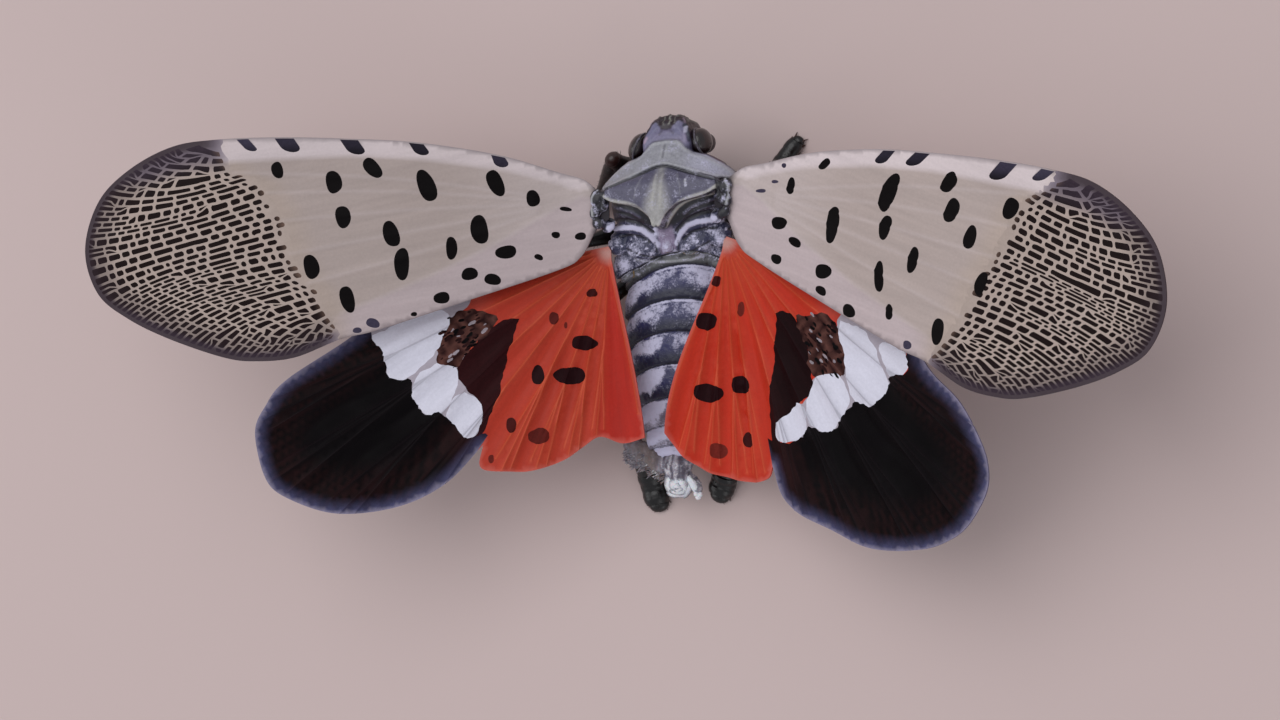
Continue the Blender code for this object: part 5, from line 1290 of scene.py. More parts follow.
# Carving: which way it is seen, side (0 both), its line, half width, rise, tone, strength, wax
HIND_BORDER = [(2.45, 5.95), (2.1, 5.72), (1.75, 5.64), (1.35, 5.55), (1.0, 5.42), (0.72, 5.22), (0.5, 5.0),
               (0.3, 4.78), (0.1, 4.52)]
CARVING = [
    ("top", 0, [(0.0, 8.5), (0.2, 8.54), (0.33, 8.76), (0.5, 8.86), (0.66, 8.78), (0.84, 8.5), (0.98, 8.12)], 0.06, 0.05,
     TEMPLE_TONE, 0.7, 0.0),
    ("top", 0, [(0.0, 9.12), (0.5, 9.05), (0.8, 8.82), (1.05, 8.45)], 0.14, 0.0, FACE_TONE, 1.0, 0.0),
    ("top", 0, [(0.0, 8.95), (0.22, 8.9), (0.3, 8.75)], 0.13, -0.06, FACE_TONE, 0.9, 0.0),
    ("top", 0, [(0.55, 9.0), (0.72, 8.85), (0.95, 8.45)], 0.1, 0.02, FACE_TONE, 0.9, 0.0),
    ("top", 1, [(0.72, 8.62), (0.92, 8.2), (1.0, 7.95)], 0.09, -0.03, SLATE_TONE, 0.8, 0.0),
    ("top", 1, [(-0.16, 9.1), (-0.1, 8.95), (-0.17, 8.8), (-0.1, 8.68)], 0.035, 0.05, FACE_KEEL_TONE, 0.45, 0.05),
    ("top", 1, [(0.14, 9.12), (0.08, 8.98), (0.16, 8.84), (0.1, 8.7)], 0.045, 0.05, FACE_KEEL_TONE, 0.75, 0.1),
    ("top", 1, [(0.4, 9.06), (0.3, 8.92), (0.36, 8.8), (0.3, 8.72)], 0.03, 0.05, FACE_KEEL_TONE, 0.35, 0.0),
    ("top", 0, [(0.62, 8.9), (0.72, 8.7)], 0.04, 0.03, ROSE_TONE, 0.5, 0.0),
    ("top", 0, [(0.0, 8.36), (0.4, 8.3), (0.66, 8.1)], 0.2, -0.05, HEAD_TONE, 0.3, 0.1),
    ("top", 0, [(0.18, 8.45), (0.3, 8.3)], 0.08, -0.02, TEMPLE_TONE, 0.35, 0.0),
    ("top", 1, [(0.78, 8.5), (0.81, 8.34)], 0.09, 0.04, CREST_TONE, 0.6, 0.2),
    ("top", -1, [(0.84, 8.2), (0.92, 8.02)], 0.08, 0.04, ROSE_TONE, 0.9, 0.1),
    ("top", 0, [(0.0, 8.09), (0.6, 8.01), (0.9, 7.74), (1.2, 7.54), (1.75, 7.36), (2.4, 6.95), (2.95, 6.56)],
     0.05, -0.03, TEMPLE_TONE, 0.35, 0.0),
    ("top", 1, [(1.3, 7.48), (1.75, 7.35), (2.4, 6.94), (2.95, 6.55)], 0.05, 0.02, RED_BROWN_TONE, 0.9, 0.0),
    ("top", 0, [(0.0, 7.98), (0.55, 7.92), (0.85, 7.6), (1.2, 7.34), (1.75, 7.14), (2.4, 6.74), (2.9, 6.4)],
     0.09, 0.03, COLLAR_PALE, 0.35, 0.1),
    ("top", 0, [(0.0, 7.85), (0.0, 7.3)], 0.04, -0.03, SIDE_TONE, 0.6, 0.0),
    ("top", 0, [(0.1, 7.85), (0.1, 7.3)], 0.05, 0.02, COLLAR_PALE, 0.3, 0.0),
    ("top", 0, [(0.42, 7.5), (0.46, 7.46)], 0.17, -0.04, COLLAR_TONE, 0.3, 0.0),
    ("top", 0, [(0.0, 7.08), (0.2, 7.06), (0.5, 6.97), (1.2, 6.74), (2.3, 6.38), (2.8, 6.3)],
     0.08, 0.04, COLLAR_PALE, 0.4, 0.15),
    ("top", 0, [(0.0, 6.96), (0.2, 6.94), (0.5, 6.86), (1.2, 6.62), (2.3, 6.26), (2.9, 6.22)],
     0.09, -0.11, GROOVE_TONE, 0.85, 0.0),
    ("top", 0, [(0.0, 6.7), (0.0, 5.4)], 0.035, -0.035, SIDE_TONE, 0.45, 0.0),
    ("top", 0, [(0.15, 6.6), (0.17, 5.2)], 0.08, 0.03, SHIELD_PALE, 0.35, 0.0),
    ("top", 0, [(0.75, 6.55), (0.95, 6.1), (1.0, 5.7)], 0.05, 0.03, COLLAR_TONE, 0.35, 0.2),
    ("top", 1, [(1.15, 6.3), (1.2, 6.05)], 0.06, 0.01, COLLAR_PALE, 0.8, 0.5),
    ("top", 0, HIND_BORDER, 0.1, 0.08, SHIELD_PALE, 0.85, 0.2),
    ("top", 0, [(2.4, 5.55), (1.8, 5.36), (1.3, 5.2), (0.95, 4.95)], 0.09, 0.04, SHIELD_TONE, 0.7, 0.3),
    ("top", 0, [(2.3, 5.25), (1.7, 5.1), (1.25, 4.9), (0.85, 4.62)], 0.05, 0.03, SHIELD_TONE, 0.5, 0.2),
    ("top", 0, [(2.3, 4.98), (1.6, 4.9), (1.1, 4.75), (0.5, 4.3)], 0.13, -0.1, HOLLOW_TONE, 0.95, 0.0),
    ("top", -1, [(0.36, 4.42), (0.38, 4.38)], 0.12, 0.08, CREST_TONE, 1.0, 0.6),
    ("top", 0, [(0.4, 3.8), (0.66, 4.18), (1.0, 4.46), (1.4, 4.58), (1.9, 4.62), (2.3, 4.62)],
     0.14, 0.04, CREST_TONE, 0.95, 0.85),
    ("top", 0, [(0.75, 3.95), (1.1, 4.2), (1.6, 4.3), (2.1, 4.3)], 0.07, -0.05, HOLLOW_TONE, 0.85, 0.0),
    ("top", 0, [(0.45, 3.5), (0.5, 3.9)], 0.05, -0.08, HOLLOW_TONE, 0.9, 0.0),
    ("top", 0, [(0.4, 3.25), (1.1, 3.4), (1.8, 3.75)], 0.06, -0.06, HOLLOW_TONE, 0.8, 0.0),
    ("top", 0, [(0.85, 3.68), (0.88, 3.68)], 0.06, 0.04, CREST_TONE, 1.0, 0.9),
    ("top", -1, [(1.2, 3.5), (1.22, 3.5)], 0.05, 0.04, CREST_TONE, 1.0, 0.9),
    ("top", 0, [(0.0, 3.1), (0.9, 3.12), (1.6, 3.3)], 0.08, 0.03, COLLAR_PALE, 0.5, 0.5),
    ("top", 0, [(2.75, 6.25), (2.95, 5.9), (2.96, 5.5), (2.88, 5.15)], 0.08, 0.04, COLLAR_PALE, 0.8, 0.4),
    ("top", 0, [(2.45, 6.2), (2.5, 5.8), (2.6, 5.45), (2.5, 5.1)], 0.08, -0.06, HOLLOW_TONE, 0.85, 0.0),
    ("top", 0, [(2.62, 5.62), (2.78, 5.56)], 0.07, -0.05, HOLLOW_TONE, 0.85, 0.0),
    ("top", 0, [(2.6, 5.08), (2.85, 5.06)], 0.06, -0.05, HOLLOW_TONE, 0.85, 0.0),
    ("front", 0, [(0.0, 5.0), (0.0, 3.3)], 0.06, 0.06, FACE_KEEL_TONE, 0.35, 0.0),
    ("front", 0, [(0.4, 5.05), (0.52, 4.2), (0.48, 3.4)], 0.07, 0.07, FACE_KEEL_TONE, 0.3, 0.0),
    ("front", 0, [(0.74, 4.9), (0.8, 4.2), (0.76, 3.4), (0.55, 3.1)], 0.06, 0.05, FACE_KEEL_TONE, 0.4, 0.1),
    ("front", 0, [(0.0, 3.2), (0.35, 3.15), (0.6, 3.0)], 0.06, -0.06, BELLY_TONE, 1.0, 0.0),
    ("side", 0, [(5.9, 5.2), (5.7, 4.2), (5.75, 3.0), (5.6, 2.3)], 0.08, -0.09, GROOVE_TONE, 0.9, 0.0),
    ("side", 0, [(4.3, 4.9), (4.2, 3.9), (4.35, 2.9), (4.25, 2.3)], 0.08, -0.09, GROOVE_TONE, 0.9, 0.0),
    ("side", 0, [(5.1, 5.0), (4.95, 3.7), (5.1, 2.5)], 0.06, 0.05, COLLAR_TONE, 0.3, 0.4),
    ("side", 0, [(6.9, 4.6), (6.6, 3.4), (6.6, 2.4)], 0.07, -0.06, GROOVE_TONE, 0.8, 0.0),
    ("side", 0, [(7.4, 4.4), (7.0, 3.6), (6.95, 2.8)], 0.1, 0.04, COLLAR_PALE, 0.5, 0.4),
    ("side", 0, [(3.5, 4.3), (3.4, 3.4), (3.5, 2.6)], 0.1, 0.05, COLLAR_TONE, 0.4, 0.5),
]


def tergite_share(points):
    """For each point: its tergite's number, and how far down that tergite it lies, 0 to 1."""
    level = points[:, 1] - TERGITE_LEAN * points[:, 0] + TERGITE_BOW * points[:, 0] ** 2
    number = np.clip(np.searchsorted(-np.array(TERGITES), -level) - 1, 0, len(TERGITES) - 2)
    fronts = np.array(TERGITES)[number]
    rears = np.array(TERGITES)[number + 1]
    return number, np.clip((fronts - level) / (fronts - rears), 0.0, 1.0)


def make_trunk():
    points, quads, edges = fused(trunk_blanks(), TRUNK_VOXEL, 3)
    normals = normals_of(points, quads)
    across, along, up = points.T
    wide = np.abs(across)
    facing_up = smooth_step(0.0, 0.45, normals[:, 2])
    facing_down = smooth_step(0.1, 0.5, -normals[:, 2])
    facing_front = smooth_step(0.1, 0.6, normals[:, 1])
    facing_side = smooth_step(0.4, 0.8, np.abs(normals[:, 0]))
    patchy = rough_noise(points, 1.7)
    fine = rough_noise(points, 6.0, 9.0)
    abdomen = smooth_step(3.46, 3.36, along - TERGITE_LEAN * across + TERGITE_BOW * across ** 2)

    paint = mixed(np.repeat(SIDE_TONE[None], len(points), axis=0), BELLY_TONE, facing_down)
    wax = 0.32 + 0.2 * patchy - 0.25 * facing_down
    ahead_of_collar = smooth_step(-0.05, 0.05, along - PRONOTUM_FRONT - front_edge(across)
                                  + collar_undercut(across, up))
    in_collar = smooth_step(-0.04, 0.04, along - PRONOTUM_REAR - chevron(across)) * (1.0 - ahead_of_collar)
    collar = mixed(COLLAR_TONE, COLLAR_SHEEN, smooth_step(0.5, 1.7, across) * smooth_step(3.2, 2.4, across))
    paint = mixed(paint, collar, in_collar * facing_up)
    wax -= in_collar * (0.3 - 0.2 * facing_up)
    border = np.array(HIND_BORDER)
    shield_rear = np.interp(wide, border[::-1, 0], border[::-1, 1])
    in_shield = smooth_step(-0.05, 0.05, along - shield_rear) * (1.0 - in_collar) * (1.0 - ahead_of_collar) * facing_up
    paint = mixed(paint, SHIELD_TONE, in_shield * smooth_step(2.7, 2.5, wide))
    wax -= in_shield * 0.14
    strip = np.interp(along, [4.3, 4.8, 5.2, 5.5, 6.0, 6.6], [0.1, 0.36, 0.5, 0.44, 0.26, 0.05])
    paint = mixed(paint, SHIELD_PALE, in_shield * smooth_step(strip + 0.32, strip - 0.25, wide) * 0.68)
    wing_roots = smooth_step(2.3, 2.55, wide) * smooth_step(6.35, 6.15, along) * smooth_step(4.4, 4.6, along) * facing_up
    behind_shield = (1.0 - smooth_step(-0.08, 0.02, along - shield_rear)) * facing_up * (1.0 - abdomen)
    paint = mixed(paint, HOLLOW_TONE, behind_shield)
    wax -= 0.25 * behind_shield
    plates = behind_shield * smooth_step(4.5, 4.2, along - 0.35 * wide)
    paint = mixed(paint, PLATE_TONE, plates)
    wax += plates * (0.22 + 0.35 * patchy + 0.45 * smooth_step(0.38, 0.5, fine))
    paint = mixed(paint, HOLLOW_TONE, wing_roots)
    wax = wax * (1.0 - wing_roots) + wing_roots * (0.15 + 0.6 * fine + 0.3 * patchy)
    centre = plates * smooth_step(0.42, 0.3, wide) * smooth_step(3.3, 3.5, along)
    paint = mixed(paint, CENTRE_TONE, centre)
    head_top = ahead_of_collar * facing_up
    crown_front = np.interp(wide, [0.0, 0.2, 0.33, 0.5, 0.65, 0.8, 0.95, 1.1],
                            [8.46, 8.5, 8.72, 8.82, 8.74, 8.48, 8.15, 7.9])
    head_top *= smooth_step(0.04, -0.04, along - crown_front)
    paint = mixed(paint, FACE_TONE, ahead_of_collar)
    wax -= 0.5 * ahead_of_collar
    paint = mixed(paint, TEMPLE_TONE, ahead_of_collar * facing_up)
    paint = mixed(paint, mixed(HEAD_TONE, ROSE_TONE, np.clip(0.3 + patchy, 0.0, 1.0) * 0.35), head_top)

    number, share = tergite_share(points)
    on_back = smooth_step(-0.1, 0.2, normals[:, 2])
    tergite = mixed(np.repeat(TERGITE_TONE[None], len(points), axis=0), OLIVE_TONE, (number == 0) * 0.9)
    hind_end = smooth_step(-2.3, -3.7, along)
    tergite = mixed(tergite, HIND_END_TONE, hind_end * 0.75)
    tergite = mixed(tergite, TERGITE_DARK, smooth_step(0.45, 0.9, share) * (0.75 - 0.5 * hind_end))
    tergite = mixed(tergite, GROOVE_TONE, smooth_step(0.07, 0.02, share))
    frost = smooth_step(0.04, 0.2, share) * smooth_step(0.95, 0.3, share + 0.3 * patchy + 0.15 * fine)
    whiter = np.array([0.3, 0.75, 0.7, 0.9, 1.3, 1.6, 1.5, 1.2])[number]
    frost *= whiter * (0.62 + 0.38 * smooth_step(0.15, 1.1, wide)) + 0.3 * fine
    frost += hind_end * 0.3
    block = smooth_step(0.34, 0.14, np.abs(across + 0.05 + 0.1 * patchy)) * smooth_step(0.12, 0.25, share)
    block *= smooth_step(0.95, 0.8, share)
    frost *= 1.0 - block * np.array([0.0, 0.2, 0.4, 0.7, 0.85, 0.6, 0.3, 0.1])[number]
    front_line = smooth_step(0.04, 0.07, share) * smooth_step(0.16, 0.1, share)
    frost = np.maximum(frost, front_line * 0.85 * smooth_step(-0.5, 0.1, patchy))
    in_side = smooth_step(0.35, 0.0, np.abs(normals[:, 2] + 0.1)) * smooth_step(0.75, 0.45, share)
    under = mixed(np.repeat(YELLOW_TONE[None], len(points), axis=0), BELLY_TONE, smooth_step(0.3, 0.36, share))
    tergite = mixed(under, tergite, on_back)
    tergite = mixed(tergite, YELLOW_TONE, in_side * 0.85)
    paint = mixed(paint, tergite, abdomen)
    wax = wax * (1.0 - abdomen) + abdomen * (frost * on_back + 0.12 * (1.0 - on_back))

    rise = -TERGITE_STEP * (1.0 - smooth_step(0.0, 0.5, share)) * abdomen
    rise += 0.02 * fine * abdomen * smooth_step(0.1, 0.3, share) + 0.012 * rough_noise(points, 9.0, 4.0)
    views = {"top": (across, along, facing_up), "front": (across, up, facing_front), "side": (along, up, facing_side)}
    for view, side, line, half_width, height, tone, strength, dust in CARVING:
        first, second, facing = views[view]
        if view != "side":
            first = np.abs(first) if side == 0 else side * first
        reach = distance_to(np.stack([first, second], axis=1), np.array(line, float))
        near = smooth_step(half_width, 0.0, reach) * facing
        rise = rise + height * near
        near_paint = smooth_step(half_width, 0.35 * half_width, reach) * facing
        paint = mixed(paint, tone, near_paint * strength)
        wax = wax + (dust - wax * 0.6) * near_paint * strength
    points = points + normals * rise[:, None]
    points = relaxed(points, edges, 1)
    return points, quads, normals, paint, np.clip(wax, 0.0, 1.0)


def shell_object(name, places, faces, charts, paint, wax, materials):
    """A piece with a colour and a wax amount at each point, and a baking chart for each corner."""
    mesh = bpy.data.meshes.new(name)
    mesh.from_pydata(places.tolist(), [], [tuple(face) for face in faces])
    colours = mesh.color_attributes.new("Paint", "FLOAT_COLOR", "POINT")
    rgba = np.ones((len(places), 4), np.float32)
    rgba[:, :3] = paint
    colours.data.foreach_set("color", rgba.ravel())
    dust = mesh.attributes.new("Wax", "FLOAT", "POINT")
    dust.data.foreach_set("value", np.asarray(wax, np.float32))
    if charts is not None:
        layer = mesh.uv_layers.new(name="OFBake")
        layer.data.foreach_set("uv", charts.astype(np.float32).ravel())
    for material in materials:
        mesh.materials.append(material)
    mesh.shade_smooth()
    piece = bpy.data.objects.new(name, mesh)
    bpy.context.scene.collection.objects.link(piece)
    return piece


def box_charts(points, faces, normals):
    """A baking chart for each corner: every face is laid flat along the axis that it faces most."""
    face_normals = normals[faces].sum(axis=1)
    main = np.argmax(np.abs(face_normals), axis=1)
    sign = np.take_along_axis(face_normals, main[:, None], axis=1)[:, 0] > 0
    low = points.min(axis=0)
    size = np.ptp(points, axis=0)
    corners = points[faces] - low
    charts = np.zeros(corners.shape[:2] + (2,))
    place = 0.0
    width = 2.0 * size[0] + 2.0 * size[2] + size[0]
    for axis, (first, second) in ((2, (0, 1)), (0, (2, 1)), (1, (0, 2))):
        for positive in (True, False):
            held = (main == axis) & (sign == positive)
            charts[held, :, 0] = corners[held][:, :, first] + place
            charts[held, :, 1] = corners[held][:, :, second]
            if axis == 1 and not positive:
                charts[held, :, 1] += 1.1 * size[2]
            if axis != 1:
                place += 1.02 * size[first]
    scale = 0.98 / max(place + size[0], size[1], 2.2 * size[2], width)
    return (charts * scale + 0.005).reshape(-1, 2)


wax_bloom, bloom_in, bloom_out = shader_group("wax_bloom", {"Body place": None, "Amount": 0.5}, ["Cover", "Grain"])
bloom_mm = add_node(wax_bloom, "ShaderNodeVectorMath", {0: bloom_in.outputs["Body place"], "Scale": 1000.0},
                    operation="SCALE")
bloom_patch = add_node(wax_bloom, "ShaderNodeTexNoise", {"Vector": bloom_mm.outputs[0], "Scale": 3.2, "Detail": 5.0,
                                                        "Roughness": 0.65})
bloom_dust = add_node(wax_bloom, "ShaderNodeTexNoise", {"Vector": bloom_mm.outputs[0], "Scale": 15.0, "Detail": 3.0})
bloom_mix = add_node(wax_bloom, "ShaderNodeMath", {0: bloom_patch.outputs["Fac"], 1: 1.2}, operation="MULTIPLY")
bloom_sum = add_node(wax_bloom, "ShaderNodeMath", {0: bloom_dust.outputs["Fac"], 1: 0.8, 2: bloom_mix.outputs[0]},
                     operation="MULTIPLY_ADD")
bloom_level = add_node(wax_bloom, "ShaderNodeMath", {0: bloom_in.outputs["Amount"], 1: bloom_sum.outputs[0]},
                       operation="ADD")
bloom_cover = add_node(wax_bloom, "ShaderNodeMapRange", {"Value": bloom_level.outputs[0], "From Min": 1.18,
                                                        "From Max": 1.78, "To Min": 0.0, "To Max": 1.0},
                       interpolation_type="SMOOTHSTEP")
wax_bloom.links.new(bloom_cover.outputs[0], bloom_out.inputs["Cover"])
wax_bloom.links.new(bloom_dust.outputs["Fac"], bloom_out.inputs["Grain"])


def shell_material(name, roughness, wax_tone, bump, **constants):
    """Painted shell under a bloom of pale wax, which dulls it where it lies thick."""
    material, tree, shader = new_material(name, roughness, **constants)
    paint = add_node(tree, "ShaderNodeVertexColor", layer_name="Paint")
    amount = add_node(tree, "ShaderNodeAttribute", attribute_name="Wax")
    body = add_node(tree, "ShaderNodeTexCoord")
    bloom = add_node(tree, "ShaderNodeGroup", node_tree=wax_bloom)
    tree.links.new(body.outputs["Object"], bloom.inputs["Body place"])
    tree.links.new(amount.outputs["Fac"], bloom.inputs["Amount"])
    grain = add_node(tree, "ShaderNodeGroup", node_tree=film_grain)
    tree.links.new(body.outputs["Object"], grain.inputs["Body place"])
    speckle = add_node(tree, "ShaderNodeMapRange", {"Value": grain.outputs["Speck"], "From Min": 0.3, "From Max": 0.7,
                                                    "To Min": 0.82, "To Max": 1.18})
    shaded = add_node(tree, "ShaderNodeVectorMath", {0: paint.outputs["Color"], "Scale": speckle.outputs[0]},
                      operation="SCALE")
    dusted = add_node(tree, "ShaderNodeMix", data_type="RGBA")
    dusted.inputs["B"].default_value = (*wax_tone, 1.0)
    for socket in dusted.inputs:
        if socket.name == "B" and socket.type == "RGBA":
            socket.default_value = (*wax_tone, 1.0)
        if socket.name == "A" and socket.type == "RGBA":
            tree.links.new(shaded.outputs[0], socket)
    tree.links.new(bloom.outputs["Cover"], dusted.inputs["Factor"])
    for socket in dusted.outputs:
        if socket.type == "RGBA":
            tree.links.new(socket, shader.inputs["Base Color"])
    rough = add_node(tree, "ShaderNodeMapRange", {"Value": bloom.outputs["Cover"], "From Min": 0.0, "From Max": 1.0,
                                                  "To Min": roughness, "To Max": 0.85})
    tree.links.new(rough.outputs[0], shader.inputs["Roughness"])
    height = add_node(tree, "ShaderNodeMath", {0: bloom.outputs["Grain"], 1: bloom.outputs["Cover"]}, operation="ADD")
    dent = add_node(tree, "ShaderNodeBump", {"Height": height.outputs[0], "Distance": bump * MM, "Strength": 1.0})
    tree.links.new(dent.outputs["Normal"], shader.inputs["Normal"])
    return material


shell_skin = shell_material("trunk_shell", 0.38, WAX_TONE, 0.014)
trunk_points, trunk_quads, trunk_normals, trunk_paint, trunk_wax = make_trunk()
body_skin = shell_object("body_skin", trunk_place(trunk_points), trunk_quads,
                         box_charts(trunk_points, trunk_quads, trunk_normals), trunk_paint, trunk_wax, [shell_skin])
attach(body_skin, "root")
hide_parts("head", "pronotum", "thorax", "abdomen")


def joined_shell(name, parts, materials):
    """One piece from several blanks, each with a tone, a wax amount and a material number."""
    verts, faces, paint, wax, kinds = [], [], [], [], []
    for (blank_verts, blank_faces), tone, dust, kind in parts:
        faces += [tuple(k + len(verts) for k in face) for face in blank_faces]
        kinds += [kind] * len(blank_faces)
        verts += [tuple(v) for v in blank_verts]
        tones = np.broadcast_to(np.asarray(tone, float), (len(blank_verts), 3))
        paint.append(tones)
        wax.append(np.broadcast_to(np.asarray(dust, float), (len(blank_verts),)))
    piece = shell_object(name, trunk_place(np.array(verts)), faces, None, np.concatenate(paint),
                         np.concatenate(wax), materials)
    piece.data.polygons.foreach_set("material_index", np.array(kinds, np.int32))
    work = bmesh.new()
    work.from_mesh(piece.data)
    bmesh.ops.recalc_face_normals(work, faces=work.faces)
    work.to_mesh(piece.data)
    work.free()
    piece.data.shade_smooth()
    piece.data.set_sharp_from_angle(angle=math.radians(50.0))
    return piece


def cone(root, tip, radius, bend=(0.0, 0.0, 0.0), sides=5, tip_share=0.12):
    """A tapering spike from root to tip, bowed by bend at its middle."""
    root, tip = np.array(root, float), np.array(tip, float)
    middle = 0.5 * (root + tip) + np.array(bend)
    return tube([root, middle, tip], [radius, 0.6 * radius, tip_share * radius], sides=sides, rows=4)


# Eyes: large dark faceted domes on the sides of the head, each in a pale raised rim.
EYE_PLACE = (1.36, 7.93, 4.6)
EYE_RADII = (0.4, 0.57, 0.6)
EYE_TURN = 20.0
EYE_TONE = linear(32, 15, 17)
EYE_RIM_TONE = linear(66, 60, 68)
eye_dome, eye_tree, eye_shader = new_material("eye_dome", 0.22, Coat_Weight=0.5, Coat_Roughness=0.08)
eye_place = add_node(eye_tree, "ShaderNodeTexCoord")
eye_mm = add_node(eye_tree, "ShaderNodeVectorMath", {0: eye_place.outputs["Object"], "Scale": 1000.0}, operation="SCALE")
eye_facets = add_node(eye_tree, "ShaderNodeTexVoronoi", {"Vector": eye_mm.outputs[0], "Scale": 34.0, "Randomness": 0.35})
eye_facet_shade = add_node(eye_tree, "ShaderNodeMapRange", {"Value": eye_facets.outputs["Distance"], "From Min": 0.1,
                                                            "From Max": 0.6, "To Min": 1.35, "To Max": 0.45})
eye_bands = add_node(eye_tree, "ShaderNodeTexNoise", {"Vector": eye_mm.outputs[0], "Scale": 2.2, "Detail": 2.0})
eye_warmth = add_node(eye_tree, "ShaderNodeMapRange", {"Value": eye_bands.outputs["Fac"], "From Min": 0.35,
                                                       "From Max": 0.65, "To Min": 0.6, "To Max": 1.5})
eye_share = add_node(eye_tree, "ShaderNodeMath", {0: eye_facet_shade.outputs[0], 1: eye_warmth.outputs[0]},
                     operation="MULTIPLY")
eye_colour = add_node(eye_tree, "ShaderNodeVectorMath", {0: tuple(EYE_TONE), "Scale": eye_share.outputs[0]},
                      operation="SCALE")
eye_tree.links.new(eye_colour.outputs[0], eye_shader.inputs["Base Color"])
eye_dent = add_node(eye_tree, "ShaderNodeBump", {"Height": eye_facets.outputs["Distance"], "Distance": 0.006 * MM,
                                                 "Strength": 1.0}, invert=True)
eye_tree.links.new(eye_dent.outputs["Normal"], eye_shader.inputs["Normal"])

small_shell = shell_material("small_shell", 0.28, WAX_TONE, 0.01)


def make_eye(side):
    sign = SIDES[side]
    centre = np.array((sign * EYE_PLACE[0] - 0.04, EYE_PLACE[1], EYE_PLACE[2]))
    dome = lump(centre, EYE_RADII, sign * EYE_TURN, sign * -8.0, rows=36, columns=56)
    spin = np.array(Matrix.Rotation(math.radians(sign * EYE_TURN), 3, "Z"))
    ring = [centre + spin @ np.array((-sign * 0.06, 1.03 * EYE_RADII[1] * math.cos(a), 1.03 * EYE_RADII[2] * math.sin(a)))
            for a in np.linspace(0.0, 2.0 * math.pi, 21)]
    rim = tube(ring, [0.048] * 4, sides=10, rows=60)
    return joined_shell("eye_dome_" + side, [(dome, EYE_TONE, 0.0, 0), (rim, EYE_RIM_TONE, 0.2, 1)],
                        [eye_dome, small_shell])


for side in SIDES:
    eye = make_eye(side)
    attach(eye, "root")
    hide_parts("eye_" + side)

# Antennae: a dark socket, an orange pitted bulb below the eye, and a bristle as thin as a hair.
ANTENNA_PLACE = (1.13, 7.95, 3.22)
ANTENNA_TONE = linear(214, 104, 34)
ANTENNA_DARK = linear(150, 62, 24)


def make_antenna(side):
    sign = SIDES[side]
    rng = np.random.default_rng(41 if side == "left" else 42)
    u, along, z = ANTENNA_PLACE
    socket = tube([(sign * 0.8, along - 0.02, z + 0.12), (sign * 1.15, along, z + 0.08)], [0.16, 0.13], sides=16)
    bulb_verts, bulb_faces = lump((sign * u, along, z), (0.2, 0.23, 0.3), sign * 10, sign * -18, rows=20, columns=28)
    pits = rough_noise(bulb_verts, 11.0, 3.0)
    bulb_verts = bulb_verts + (bulb_verts - bulb_verts.mean(axis=0)) * 0.07 * pits[:, None]
    bulb_tone = mixed(ANTENNA_TONE, ANTENNA_DARK, np.clip(0.5 - 1.2 * pits, 0.0, 1.0))
    tip = (sign * (u + 0.08), along + 0.03, z - 0.27)
    knob = lump(tip, (0.07, 0.07, 0.08), rows=8, columns=12)
    bristle = tube([tip, (sign * (u - 0.2), along + 0.12, z - 0.7), (sign * (u - 0.44), along + 0.24, z - 1.1),
                    (sign * (u - 0.66), along + 0.4, z - 1.55)], [0.035, 0.016, 0.012, 0.006], sides=6, rows=16)
    beads = [(lump(np.array((sign * u, along, z)) + offset, (0.022, 0.022, 0.022), rows=4, columns=6), ANTENNA_DARK, 0.0, 0)
             for offset in (way / np.linalg.norm(way) * (0.2, 0.23, 0.29) for way in rng.normal(size=(46, 3)))]
    return joined_shell("antenna_bulb_" + side, [(socket, FACE_TONE, 0.0, 0), ((bulb_verts, bulb_faces), bulb_tone, 0.0, 0),
                                                 (knob, ANTENNA_DARK, 0.0, 0), (bristle, FACE_TONE, 0.0, 0)] + beads,
                        [small_shell])


for side in SIDES:
    antenna = make_antenna(side)
    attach(antenna, "root")
    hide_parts("antenna_" + side)

# Beak: a long jointed tube from the face back between the legs, with a groove along it.
BEAK_PATH = [(0.0, 8.15, 2.5), (0.0, 7.9, 1.95), (0.0, 7.2, 1.66), (0.0, 6.0, 1.6), (0.0, 4.5, 1.62), (0.0, 2.75, 1.66)]
BEAK_TONE = linear(34, 26, 24)


def make_beak():
    sheath = tube(BEAK_PATH, [0.3, 0.3, 0.25, 0.2, 0.18, 0.17, 0.15, 0.05], sides=24, squash=0.85, rows=90)
    verts = sheath[0]
    groove = smooth_step(0.07, 0.0, np.abs(verts[:, 0])) * smooth_step(1.6, 1.5, verts[:, 2])
    verts[:, 2] += 0.05 * groove
    for joint in (6.7, 4.6):
        near = np.exp(-((verts[:, 1] - joint) / 0.06) ** 2)
        verts[:, 0] *= 1.0 - 0.22 * near
    shade = mixed(BEAK_TONE, linear(70, 48, 38), smooth_step(5.0, 2.8, verts[:, 1]))
    return joined_shell("beak_sheath", [(sheath, shade, 0.05, 0)], [small_shell])


beak = make_beak()
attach(beak, "root")
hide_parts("beak")
